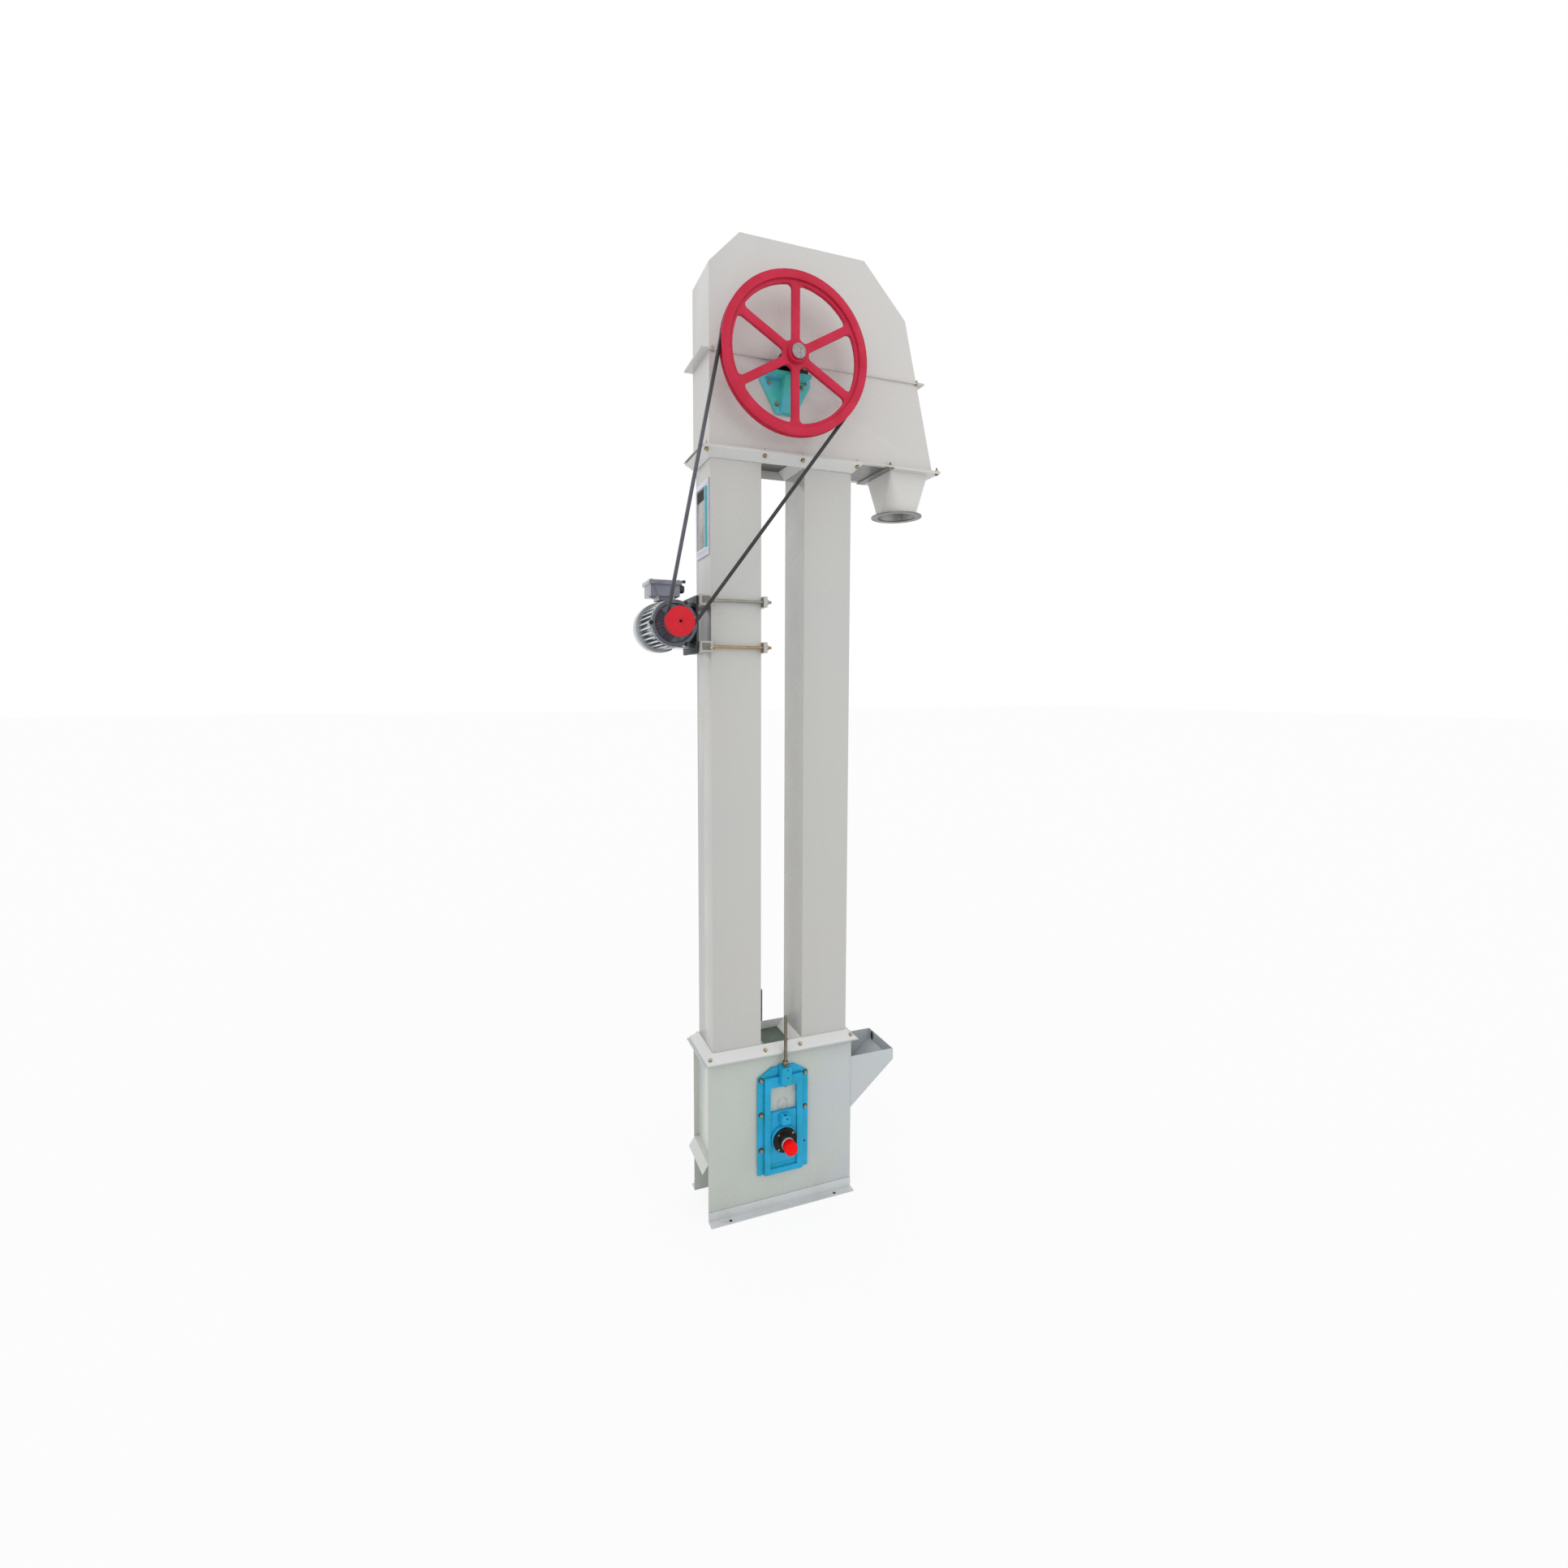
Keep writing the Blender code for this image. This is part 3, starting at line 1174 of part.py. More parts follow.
loop_length = 2 * (SHAFT_Z - TAIL_Z)
loop_length += 2 * math.pi * BELT_RADIUS
inner_radius = DRUM_RADIUS + RUN_CLEARANCE
loop_path = arc((0, SHAFT_Z), inner_radius, 0, 180, 20)
loop_path += arc((0, TAIL_Z), inner_radius, 180, 360, 20)
loop_section = [
    (0, -BELT_WIDTH / 2),
    (BELT_THICKNESS, -BELT_WIDTH / 2),
    (BELT_THICKNESS, BELT_WIDTH / 2),
    (0, BELT_WIDTH / 2),
]
bucket_belt = add(
    "bucket_belt", swept(loop_path, loop_section), (RUBBER, 0.6), (0, 0, 0), UPRIGHT
)
one_bucket = bucket_mesh()
all_buckets = bmesh.new()
for i in range(BUCKET_COUNT):
    (x, z), angle = belt_point((i + 0.5) * loop_length / BUCKET_COUNT)
    before = len(all_buckets.verts)
    all_buckets.from_mesh(one_bucket)
    all_buckets.verts.ensure_lookup_table()
    fresh = all_buckets.verts[before:]
    # The bucket's mouth leads: it is up on the left side, so its Z is the way of travel
    out = (math.cos(angle), math.sin(angle))
    travel = (out[1], -out[0])
    for vert in fresh:
        a, b, c = vert.co.x - BUCKET_SINK, vert.co.y, vert.co.z
        vert.co = (x + a * out[0] + c * travel[0], z + a * out[1] + c * travel[1], b)
buckets = helper("buckets", finished(all_buckets, "buckets"), (0, 0, 0), UPRIGHT)
join(bucket_belt, buckets)


# Drive belt: one fixed loop over the two pulleys
def drive_path():
    """The inner side of the belt, anticlockwise seen from the front."""
    big = PULLEY_RADIUS - VEE_SINK - VEE_DEPTH
    small = MOTOR_PULLEY_RADIUS - VEE_SINK - VEE_DEPTH
    dx, dz = MOTOR_X, MOTOR_Z - SHAFT_Z
    between = math.hypot(dx, dz)
    heading = math.degrees(math.atan2(dz, dx))
    lean = math.degrees(math.acos((big - small) / between))
    points = arc((0, SHAFT_Z), big, heading + lean, heading + 360 - lean, 40)
    points += arc((MOTOR_X, MOTOR_Z), small, heading - lean, heading + lean, 12)
    return points


vee_section = [
    (0, -VEE_INNER_WIDTH / 2),
    (VEE_DEPTH, -VEE_WIDTH / 2),
    (VEE_DEPTH, VEE_WIDTH / 2),
    (0, VEE_INNER_WIDTH / 2),
]
add(
    "drive_belt", swept(drive_path(), vee_section), (RUBBER, 0.55), (0, BELT_Y, 0), UPRIGHT
)


# Motor: finned body with feet, end shield, fan cowl and terminal box
def fin_outline():
    """The body's section: fins all round a drum."""
    points = []
    step = 360 / MOTOR_FIN_COUNT
    for i in range(MOTOR_FIN_COUNT):
        start = i * step
        for share, radius in (
            (0.0, MOTOR_BODY_RADIUS),
            (FIN_FOOT, MOTOR_BODY_RADIUS),
            (FIN_CREST_START, MOTOR_FIN_RADIUS),
            (FIN_CREST_END, MOTOR_FIN_RADIUS),
        ):
            angle = math.radians(start + share * step)
            points.append((MOTOR_X + radius * math.cos(angle), MOTOR_Z + radius * math.sin(angle)))
    return points


body_length = MOTOR_FRONT + MOTOR_BACK
body_y = (MOTOR_BACK - MOTOR_FRONT) / 2
motor_body = add(
    "motor_housing", prism(fin_outline(), body_length), (MOTOR_PAINT, 0.4), (0, body_y, 0), UPRIGHT
)
for z in (MOTOR_Z - FOOT_PAD_Z, MOTOR_Z + FOOT_PAD_Z):
    low = (MOTOR_X + MOTOR_BODY_RADIUS / 3, -FOOT_PAD_LENGTH / 2, z - FOOT_PAD_HEIGHT / 2)
    high = (MOUNT_PLATE_X - GAP, FOOT_PAD_LENGTH / 2, z + FOOT_PAD_HEIGHT / 2)
    join(motor_body, helper("motor_foot", block(low, high)))

shield_front = MOTOR_FRONT + GAP + MOTOR_SHIELD_DEPTH
shield_floor = shield_front - SHIELD_DISH
shield_outline = [
    (0, shield_front + MOTOR_BOSS_DEPTH),
    (SHIELD_BOSS_RADIUS, shield_front + MOTOR_BOSS_DEPTH),
    (SHIELD_BOSS_RADIUS + SHIELD_DRAFT, shield_floor),
    (SHIELD_RING_RADIUS - SHIELD_DRAFT, shield_floor),
    (SHIELD_RING_RADIUS, shield_front),
    (MOTOR_SHIELD_RADIUS - SHIELD_DRAFT, shield_front),
    (MOTOR_SHIELD_RADIUS, shield_front - SHIELD_DRAFT),
    (MOTOR_SHIELD_RADIUS, MOTOR_FRONT + GAP),
    (0, MOTOR_FRONT + GAP),
]
motor_place = (MOTOR_X, 0, MOTOR_Z)
shield = add(
    "motor_end_shield", turned("shield", shield_outline), (MOTOR_PAINT, 0.4), motor_place, UPRIGHT
)
spin(shield)
for i in range(SHIELD_RIB_COUNT):
    rib = block(
        (SHIELD_BOSS_RADIUS, -SHIELD_RIB_WIDTH / 2, -SHIELD_DISH),
        (SHIELD_RING_RADIUS + SHIELD_DRAFT, SHIELD_RIB_WIDTH / 2, SHIELD_DISH / 2),
    )
    turn = 2 * math.pi * (i + 0.5) / SHIELD_RIB_COUNT
    rib_place = (MOTOR_X, -shield_floor, MOTOR_Z)
    join(shield, helper("shield_rib", rib, rib_place, (math.radians(90), -turn, 0)))
cowl_start = MOTOR_BACK + GAP
cowl_end = cowl_start + COWL_LENGTH
cowl_outline = [
    (0, cowl_end),
    (COWL_RADIUS - COWL_ROUND, cowl_end),
    (COWL_RADIUS - COWL_ROUND / 2, cowl_end - COWL_ROUND / 5),
    (COWL_RADIUS - COWL_ROUND / 8, cowl_end - COWL_ROUND / 2),
    (COWL_RADIUS, cowl_end - COWL_ROUND),
    (COWL_RADIUS, cowl_start),
    (0, cowl_start),
]
spin(
    add("motor_fan_cowl", turned("cowl", cowl_outline), (MOTOR_PAINT, 0.4), motor_place,
        TURNED_BACK)
)
box_middle = MOTOR_X - TERMINAL_SHIFT
box_front = -MOTOR_FRONT + TERMINAL_SETBACK
neck_top = MOTOR_Z + MOTOR_FIN_RADIUS + TERMINAL_NECK
terminal = add(
    "motor_terminal_box",
    block(
        (box_middle - TERMINAL_WIDTH / 2, box_front, neck_top),
        (box_middle + TERMINAL_WIDTH / 2, box_front + TERMINAL_LENGTH, MOTOR_Z + TERMINAL_TOP),
    ),
    (MOTOR_PAINT, 0.4),
)
lid_out = TERMINAL_WIDTH / 2 + TERMINAL_LID_OUT
lid = block(
    (box_middle - lid_out, box_front - TERMINAL_LID_OUT, MOTOR_Z + TERMINAL_TOP - TERMINAL_LID),
    (
        box_middle + lid_out,
        box_front + TERMINAL_LENGTH + TERMINAL_LID_OUT,
        MOTOR_Z + TERMINAL_TOP + TERMINAL_LID_RISE,
    ),
)
join(terminal, helper("terminal_lid", lid))
neck_half = TERMINAL_WIDTH / 2 - TERMINAL_NECK_IN
neck = block(
    (MOTOR_X - neck_half, box_front + TERMINAL_NECK_IN, MOTOR_Z + MOTOR_FIN_RADIUS + GAP),
    (
        MOTOR_X + TERMINAL_NECK_IN,
        box_front + TERMINAL_LENGTH - TERMINAL_NECK_IN,
        neck_top + TERMINAL_LID,
    ),
)
join(terminal, helper("terminal_neck", neck))
gland = helper(
    "cable_gland",
    rod(GLAND_RADIUS, 2 * GLAND_LENGTH),
    (
        box_middle + TERMINAL_WIDTH / 2,
        box_front + GLAND_BACK,
        MOTOR_Z + TERMINAL_TOP - GLAND_DROP,
    ),
    (0, math.radians(90), 0),
)
join(terminal, gland)

# Motor pulley with its shaft, behind a plain front face
pulley_front = PULLEY_FRONT
motor_pulley_outline = [
    (0, pulley_front - CENTRE_HOLE_DEPTH),
    (CENTRE_HOLE_RADIUS, pulley_front - CENTRE_HOLE_DEPTH),
    (CENTRE_HOLE_RADIUS, pulley_front),
    *vee_rim(MOTOR_PULLEY_RADIUS, RIM_WIDTH, 0, -BELT_Y)[:6],
    (MOTOR_SHAFT_RADIUS, -BELT_Y - RIM_WIDTH / 2),
    (MOTOR_SHAFT_RADIUS, shield_front + MOTOR_BOSS_DEPTH + GAP),
    (0, shield_front + MOTOR_BOSS_DEPTH + GAP),
]
motor_pulley = add(
    "motor_pulley", turned("motor_pulley", motor_pulley_outline), (RED_PAINT, 0.35), motor_place,
    UPRIGHT,
)
spin(motor_pulley)

# Motor mount: a plate on two clamps that grip the left leg
mount_plate = block(
    (MOUNT_PLATE_X, -MOUNT_PLATE_FRONT, MOTOR_Z - MOUNT_PLATE_HEIGHT / 2),
    (
        MOUNT_PLATE_X + MOUNT_PLATE_THICKNESS,
        MOUNT_PLATE_BACK,
        MOTOR_Z + MOUNT_PLATE_HEIGHT / 2,
    ),
)
add("motor_mount_plate", mount_plate, (MOTOR_PAINT, 0.4))


def leg_clamp(name, z):
    """Two bars across the leg, drawn together by a rod at the front and one at the back."""
    left = -LEG_SPAN / 2 - GAP
    right = -LEG_SPAN / 2 + LEG_WIDTH + GAP
    width = LEG_DEPTH / 2 + CLAMP_OUT
    low, high = z - CLAMP_HEIGHT / 2, z + CLAMP_HEIGHT / 2
    clamp = add(name, block((left - CLAMP_DEPTH, -width, low), (left, width, high)), WALL)
    far_bar = block((right, -width, low), (right + CLAMP_BACK_DEPTH, width, high))
    join(clamp, helper(name + "_far_bar", far_bar))
    start, end = left - CLAMP_DEPTH / 2, right + CLAMP_BACK_DEPTH + CLAMP_ROD_TAIL
    for side in (FRONT, BACK):
        y = side * (LEG_DEPTH / 2 + CLAMP_ROD_OUT)
        tie = rod(CLAMP_ROD_RADIUS, end - start, 12)
        place = ((start + end) / 2, y, z)
        join(clamp, helper(name + "_tie", tie, place, (0, math.radians(90), 0)))


leg_clamp("upper_motor_clamp", CLAMP_UPPER_Z)
leg_clamp("lower_motor_clamp", CLAMP_LOWER_Z)
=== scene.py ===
"""A belt and bucket elevator for grain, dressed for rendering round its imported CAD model."""

import math

import bmesh
import bpy
from mathutils import Matrix, Vector


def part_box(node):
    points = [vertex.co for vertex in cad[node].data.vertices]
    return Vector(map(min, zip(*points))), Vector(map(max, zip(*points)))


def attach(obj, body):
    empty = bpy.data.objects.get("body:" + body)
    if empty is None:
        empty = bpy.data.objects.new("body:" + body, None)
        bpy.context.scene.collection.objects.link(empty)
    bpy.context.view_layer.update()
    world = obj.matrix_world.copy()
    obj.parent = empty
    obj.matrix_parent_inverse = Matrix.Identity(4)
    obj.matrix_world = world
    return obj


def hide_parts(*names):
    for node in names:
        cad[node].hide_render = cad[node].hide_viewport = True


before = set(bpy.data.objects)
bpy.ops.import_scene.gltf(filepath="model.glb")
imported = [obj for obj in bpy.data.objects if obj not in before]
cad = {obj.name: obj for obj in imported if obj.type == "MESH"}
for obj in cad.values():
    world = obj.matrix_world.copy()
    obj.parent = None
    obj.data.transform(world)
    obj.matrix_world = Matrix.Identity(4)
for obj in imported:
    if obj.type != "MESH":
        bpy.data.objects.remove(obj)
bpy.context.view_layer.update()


# Boot: the box that stands on the floor, folded and welded from sheet, with angle iron feet.
# Its grey enamel leans to green on the left and to blue on the right, and is painted paler on
# the feet, the end wall and the trough as painted light. Its floor bolts are black, and beads
# hold the left end wall.
def add_node(tree, kind, inputs=None, **settings):
    made = tree.nodes.new("ShaderNode" + kind)
    for key, value in settings.items():
        setattr(made, key, value)
    for key, value in (inputs or {}).items():
        if isinstance(value, bpy.types.NodeSocket):
            tree.links.new(value, made.inputs[key])
        else:
            made.inputs[key].default_value = value
    return made


def calculate(tree, operation, first, second):
    return add_node(tree, "Math", {0: first, 1: second}, operation=operation).outputs[0]


def new_finish(name, roughness, metallic=0.0):
    """A material with its tree, its shader and the place of each point on the object."""
    material = bpy.data.materials.new(name)
    material.use_nodes = True
    tree = material.node_tree
    shader = tree.nodes["Principled BSDF"]
    shader.inputs["Roughness"].default_value = roughness
    shader.inputs["Metallic"].default_value = metallic
    where = add_node(tree, "TexCoord").outputs["Object"]
    return material, tree, shader, where


def noise(tree, where, scale, detail=3.0, stretch=None):
    if stretch:
        where = add_node(tree, "Mapping", {"Vector": where, "Scale": stretch}).outputs[0]
    made = add_node(tree, "TexNoise", {"Vector": where, "Scale": scale, "Detail": detail})
    return made.outputs["Fac"]


def remap(tree, value, low, high, to_low=0.0, to_high=1.0):
    inputs = {"Value": value, "From Min": low, "From Max": high}
    inputs.update({"To Min": to_low, "To Max": to_high})
    return add_node(tree, "MapRange", inputs).outputs[0]


def blend_colours(tree, factor, first, second):
    made = tree.nodes.new("ShaderNodeMix")
    made.data_type = "RGBA"
    for index, value in ((0, factor), (6, first), (7, second)):
        if isinstance(value, bpy.types.NodeSocket):
            tree.links.new(value, made.inputs[index])
        elif index:
            made.inputs[index].default_value = (*value, 1)
        else:
            made.inputs[index].default_value = value
    return made.outputs[2]


def axes(tree, where):
    """The three coordinates of a point on the object."""
    return add_node(tree, "SeparateXYZ", {"Vector": where}).outputs


def within(tree, value, low, high):
    """1 where a coordinate lies between two values, else 0."""
    inputs = {0: value, 1: (low + high) / 2, 2: (high - low) / 2}
    return add_node(tree, "Math", inputs, operation="COMPARE").outputs[0]


def raise_surface(tree, shader, height, strength, distance):
    """Bump on top of any that the shader already has."""
    made = add_node(tree, "Bump", {"Height": height, "Strength": strength, "Distance": distance})
    links = shader.inputs["Normal"].links
    if links:
        tree.links.new(links[0].from_socket, made.inputs["Normal"])
    tree.links.new(made.outputs["Normal"], shader.inputs["Normal"])


def shade(colour, factor):
    """A colour made paler or darker by a factor."""
    return tuple(min(1.0, part * factor) for part in colour)


def worn_edges(tree, where, radius, amount):
    """Where an edge is rubbed: the rounded normal leaves the true one, broken up by noise."""
    rounded = add_node(tree, "Bevel", {"Radius": radius}, samples=4).outputs[0]
    true = add_node(tree, "NewGeometry").outputs["Normal"]
    match = add_node(tree, "VectorMath", {0: rounded, 1: true}, operation="DOT_PRODUCT")
    edge = remap(tree, match.outputs["Value"], 0.80, 0.97, 1.0, 0.0)
    broken = remap(tree, noise(tree, where, 130.0, 5.0), 0.45, 0.62, 0.15, 1.0)
    return calculate(tree, "MULTIPLY", calculate(tree, "MULTIPLY", edge, broken), amount)


def painted_corner_shade(tree, distance, amount):
    """Painted shade where one face meets another in a corner, from an occlusion mask."""
    made = add_node(tree, "AmbientOcclusion", {"Distance": distance}, samples=6, only_local=True)
    return remap(tree, made.outputs["AO"], 0.35, 0.85, amount, 0.0)


def enamel(name, colour, second, roughness=0.26, lean=None):
    """Sprayed enamel: soft drifts of tone, specks, faint runs, orange peel and rubbed edges."""
    material, tree, shader, where = new_finish(name, roughness)
    drift = noise(tree, where, 1.6, 3.0)
    if lean:
        along = add_node(tree, "VectorMath", {0: where, 1: lean}, operation="DOT_PRODUCT")
        drift = calculate(tree, "ADD", drift, along.outputs["Value"])
    drift = remap(tree, drift, 0.38, 0.62)
    tone = blend_colours(tree, drift, colour, second)
    specks = remap(tree, noise(tree, where, 170.0, 4.0), 0.68, 0.78, 0.0, 0.14)
    tone = blend_colours(tree, specks, tone, shade(colour, 0.80))
    runs = remap(tree, noise(tree, where, 16.0, 5.0, (1, 1, 0.08)), 0.50, 0.80, 0.0, 0.09)
    tone = blend_colours(tree, runs, tone, shade(colour, 0.86))
    # Painted shade darkens the enamel in its corners.
    tone = blend_colours(tree, painted_corner_shade(tree, 0.020, 0.35), tone, shade(colour, 0.74))
    tone = blend_colours(tree, worn_edges(tree, where, 0.0016, 0.45), tone, shade(colour, 0.76))
    height = axes(tree, where)["Z"]
    low_down = remap(tree, height, 0.0, 0.16, 1.0, 0.0)
    smears = remap(tree, noise(tree, where, 11.0, 5.0, (1, 1, 0.4)), 0.45, 0.75, 0.0, 0.30)
    dust = calculate(tree, "MULTIPLY", low_down, smears)
    tone = blend_colours(tree, dust, tone, (0.40, 0.37, 0.32))
    tree.links.new(tone, shader.inputs["Base Color"])
    sheen = noise(tree, where, 7.0, 4.0)
    sheen = remap(tree, sheen, 0.3, 0.7, roughness - 0.05, roughness + 0.10)
    tree.links.new(sheen, shader.inputs["Roughness"])
    raise_surface(tree, shader, noise(tree, where, 2.1, 2.0), 0.20, 0.012)
    raise_surface(tree, shader, noise(tree, where, 420.0, 2.0), 0.04, 0.0005)
    return material


def recolour(material, mask, colour, roughness=None, metallic=None):
    """Part of a painted piece in another colour, where a mask of the coordinates is 1."""
    tree = material.node_tree
    shader = tree.nodes["Principled BSDF"]
    where = add_node(tree, "TexCoord").outputs["Object"]
    factor = mask(tree, *[axes(tree, where)[i] for i in range(3)])
    mottle = remap(tree, noise(tree, where, 60.0, 4.0), 0.3, 0.7)
    patch = blend_colours(tree, mottle, shade(colour, 0.82), shade(colour, 1.12))
    for key, value in (("Base Color", patch), ("Roughness", roughness), ("Metallic", metallic)):
        if value is None:
            continue
        socket = shader.inputs[key]
        before = socket.links[0].from_socket if socket.links else socket.default_value
        if key == "Base Color":
            tree.links.new(blend_colours(tree, factor, before, value), socket)
        else:
            made = add_node(tree, "Mix", {0: factor, 2: before, 3: value})
            tree.links.new(made.outputs[0], socket)
    return material


def dress(name, material, edge=0.0008, segments=2, angle=28):
    """A CAD node gets its finish, with its triangles joined and its folds rounded."""
    piece = cad[name]
    for polygon in piece.data.polygons:
        polygon.use_smooth = True
    for slot in piece.material_slots:
        slot.material = material
    weld = piece.modifiers.new("weld", "WELD")
    weld.merge_threshold = 0.00002
    flats = piece.modifiers.new("flats", "DECIMATE")
    flats.decimate_type = "DISSOLVE"
    flats.angle_limit = math.radians(0.4)
    fold = piece.modifiers.new("fold", "BEVEL")
    fold.width = edge
    fold.segments = segments
    fold.limit_method = "ANGLE"
    fold.angle_limit = math.radians(angle)
    fold.harden_normals = True
    return piece


def finish_piece(bm, name, material, body, smooth_angle=35):
    """A mesh made here becomes a piece that rides on a body and takes a slot's finish."""
    bmesh.ops.remove_doubles(bm, verts=bm.verts, dist=0.000002)
    bmesh.ops.recalc_face_normals(bm, faces=bm.faces)
    mesh = bpy.data.meshes.new(name)
    bm.to_mesh(mesh)
    bm.free()
    mesh.shade_smooth()
    mesh.set_sharp_from_angle(angle=math.radians(smooth_angle))
    mesh.materials.append(material)
    piece = bpy.data.objects.new(name, mesh)
    bpy.context.scene.collection.objects.link(piece)
    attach(piece, body)
    return piece


def seat(point, facing):
    """The place and turn of a part whose own Z points along facing."""
    turn = Vector(facing).to_track_quat("Z", "Y").to_matrix().to_4x4()
    return Matrix.Translation(point) @ turn


def add_disc(bm, place, radius, top_radius, low, high, sides):
    """A disc, cone or prism between two heights over its seat."""
    bmesh.ops.create_cone(
        bm,
        cap_ends=True,
        segments=sides,
        radius1=radius,
        radius2=top_radius,
        depth=high - low,
        matrix=place @ Matrix.Translation((0, 0, (low + high) / 2)),
    )


def add_bead(bm, start, end, radius, ripple=0.0038):
    """A weld bead: a row of overlapping flat drops from start to end."""
    start, end = Vector(start), Vector(end)
    count = max(2, round((end - start).length / ripple))
    turn = (end - start).to_track_quat("Z", "Y").to_matrix().to_4x4()
    for i in range(count):
        middle = start.lerp(end, (i + 0.5) / count)
        size = Matrix.Diagonal((radius, radius, ripple * 0.9, 1))
        drop = Matrix.Translation(middle) @ turn @ size
        bmesh.ops.create_uvsphere(bm, u_segments=7, v_segments=4, radius=1, matrix=drop)


BOOT_GREEN_GREY = (0.520, 0.560, 0.510)
BOOT_BLUE_GREY = (0.515, 0.540, 0.590)
boot_enamel = enamel("boot_enamel", BOOT_GREEN_GREY, BOOT_BLUE_GREY, 0.26, (0.5, 0, -0.35))
for name in ("boot_front_wall", "boot_back_wall", "boot_right_end"):
    dress(name, boot_enamel)
# The end wall and the trough get a paler enamel as painted light.
end_painted_light_enamel = enamel("boot_end_painted_light_enamel", (0.635, 0.655, 0.615), (0.630, 0.645, 0.630))
for name in ("boot_left_end", "boot_trough"):
    dress(name, end_painted_light_enamel)
# The feet get a paler enamel as painted light.
foot_painted_light_enamel = enamel("foot_painted_light_enamel", (0.600, 0.622, 0.615), (0.595, 0.615, 0.655))
for name in ("front_foot", "back_foot"):
    dress(name, foot_painted_light_enamel)

leg_low, leg_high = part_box("left_leg")
middle_y = (leg_low.y + leg_high.y) / 2
plate_enamel = enamel("boot_plate_enamel", BOOT_GREEN_GREY, BOOT_BLUE_GREY)


# The top plate between the legs is painted dark grey-green as the shade that falls there.
def shade_between_legs(tree, x, y, z):
    inner = within(tree, x, leg_high.x - 0.001, 0.001 - leg_high.x)
    return calculate(tree, "MULTIPLY", inner, within(tree, y, leg_low.y, leg_high.y))


dress("boot_top_plate", recolour(plate_enamel, shade_between_legs, (0.105, 0.150, 0.115), 0.55))

# Black anchor bolts in the feet, and the beads along the left end wall
ANCHOR_IN = 0.076
ANCHOR_OUT = 0.1125
ANCHOR_RADIUS = 0.0049
ANCHOR_TOP = 0.0042
BOOT_BEAD = 0.0017
black_steel, tree, shader, where = new_finish("black_steel", 0.42, 0.6)
oxide = remap(tree, noise(tree, where, 300.0, 4.0), 0.45, 0.75, 0.0, 0.5)
tree.links.new(
    blend_colours(tree, oxide, (0.016, 0.016, 0.017), (0.06, 0.045, 0.03)),
    shader.inputs["Base Color"],
)
raise_surface(tree, shader, noise(tree, where, 900.0, 2.0), 0.3, 0.0002)
anchors = bmesh.new()
foot_low, foot_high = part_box("front_foot")
for side in (-1, 1):
    for x in (foot_low.x + ANCHOR_IN, foot_high.x - ANCHOR_IN):
        spot = seat((x, middle_y + side * ANCHOR_OUT, 0), (0, 0, 1))
        add_disc(anchors, spot, ANCHOR_RADIUS, ANCHOR_RADIUS, 0.0002, 0.0030, 20)
        add_disc(anchors, spot, ANCHOR_RADIUS, 0.0036, 0.0030, ANCHOR_TOP, 20)
finish_piece(anchors, "foot_anchors", black_steel, "casing")
end_low, end_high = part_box("boot_left_end")
end_beads = bmesh.new()
for y in (end_low.y, end_high.y):
    bead_foot = (end_low.x, y, end_low.z + 0.01)
    add_bead(end_beads, bead_foot, (end_low.x, y, end_high.z - 0.003), BOOT_BEAD)
finish_piece(end_beads, "boot_end_welds", boot_enamel, "casing")


# Feed hopper: a bent and welded chute on the boot's right end, open on top.
# A bead runs down each side of its joint, and a black rubber ellipsoid in a slot at the back is
# painted shade of the slot.
HOPPER_BEAD = 0.0016
SLOT_SHADE_IN = Vector((0.0042, 0.028, 0.019))
SLOT_SHADE_HALVES = (0.0018, 0.0085, 0.0180, 1)
hopper_enamel = enamel("hopper_enamel", (0.530, 0.575, 0.600), (0.550, 0.570, 0.575))
dress("feed_hopper", hopper_enamel)
hopper_low, hopper_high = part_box("feed_hopper")
hopper_beads = bmesh.new()
for y in (hopper_low.y, hopper_high.y):
    edge = (hopper_low.x, y, hopper_low.z + 0.004)
    add_bead(hopper_beads, edge, (hopper_low.x, y, hopper_high.z - 0.002), HOPPER_BEAD)
finish_piece(hopper_beads, "hopper_welds", hopper_enamel, "casing")


def belt_rubber(name, colour, dusty, amount=0.6):
    """Rubber with a fine weave, dusty in places."""
    material, tree, shader, where = new_finish(name, 0.55)
    dust = remap(tree, noise(tree, where, 55.0, 4.0), 0.40, 0.75, 0.0, amount)
    tree.links.new(blend_colours(tree, dust, colour, dusty), shader.inputs["Base Color"])
    raise_surface(tree, shader, noise(tree, where, 900.0, 2.0), 0.3, 0.0003)
    return material


black_rubber = belt_rubber("black_rubber", (0.012, 0.012, 0.013), (0.03, 0.03, 0.03), 0.3)
# A black ellipsoid in the slot stands for its shade.
slot_shade = bmesh.new()
slot_shade_shape = Matrix.Translation(hopper_high - SLOT_SHADE_IN) @ Matrix.Diagonal(SLOT_SHADE_HALVES)
bmesh.ops.create_uvsphere(slot_shade, u_segments=20, v_segments=12, radius=1, matrix=slot_shade_shape)
finish_piece(slot_shade, "hopper_slot_shade", black_rubber, "casing", 60)


# Legs: two rectangular casings folded from sheet, with sloping frames at their feet and tops.
# The frames are mitred and welded at their corners, in the same enamel, painted a little paler
# as painted light.
leg_enamel = enamel("leg_enamel", (0.560, 0.552, 0.525), (0.550, 0.552, 0.530))
frame_painted_light_enamel = enamel("leg_frame_painted_light_enamel", (0.690, 0.688, 0.670), (0.680, 0.686, 0.676))
for name in ("left_leg", "right_leg"):
    dress(name, leg_enamel)
for name in ("leg_base_frame", "leg_top_frame"):
    dress(name, frame_painted_light_enamel)
base_low, base_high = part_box("leg_base_frame")
top_low, top_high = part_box("leg_top_frame")
FRAME_WIDTH = 0.0300
FRAME_LIP = 0.0042
MITRE_IN = 0.0008
MITRE_BEAD = 0.0013
MITRE_RIPPLE = 0.0045
mitres = bmesh.new()
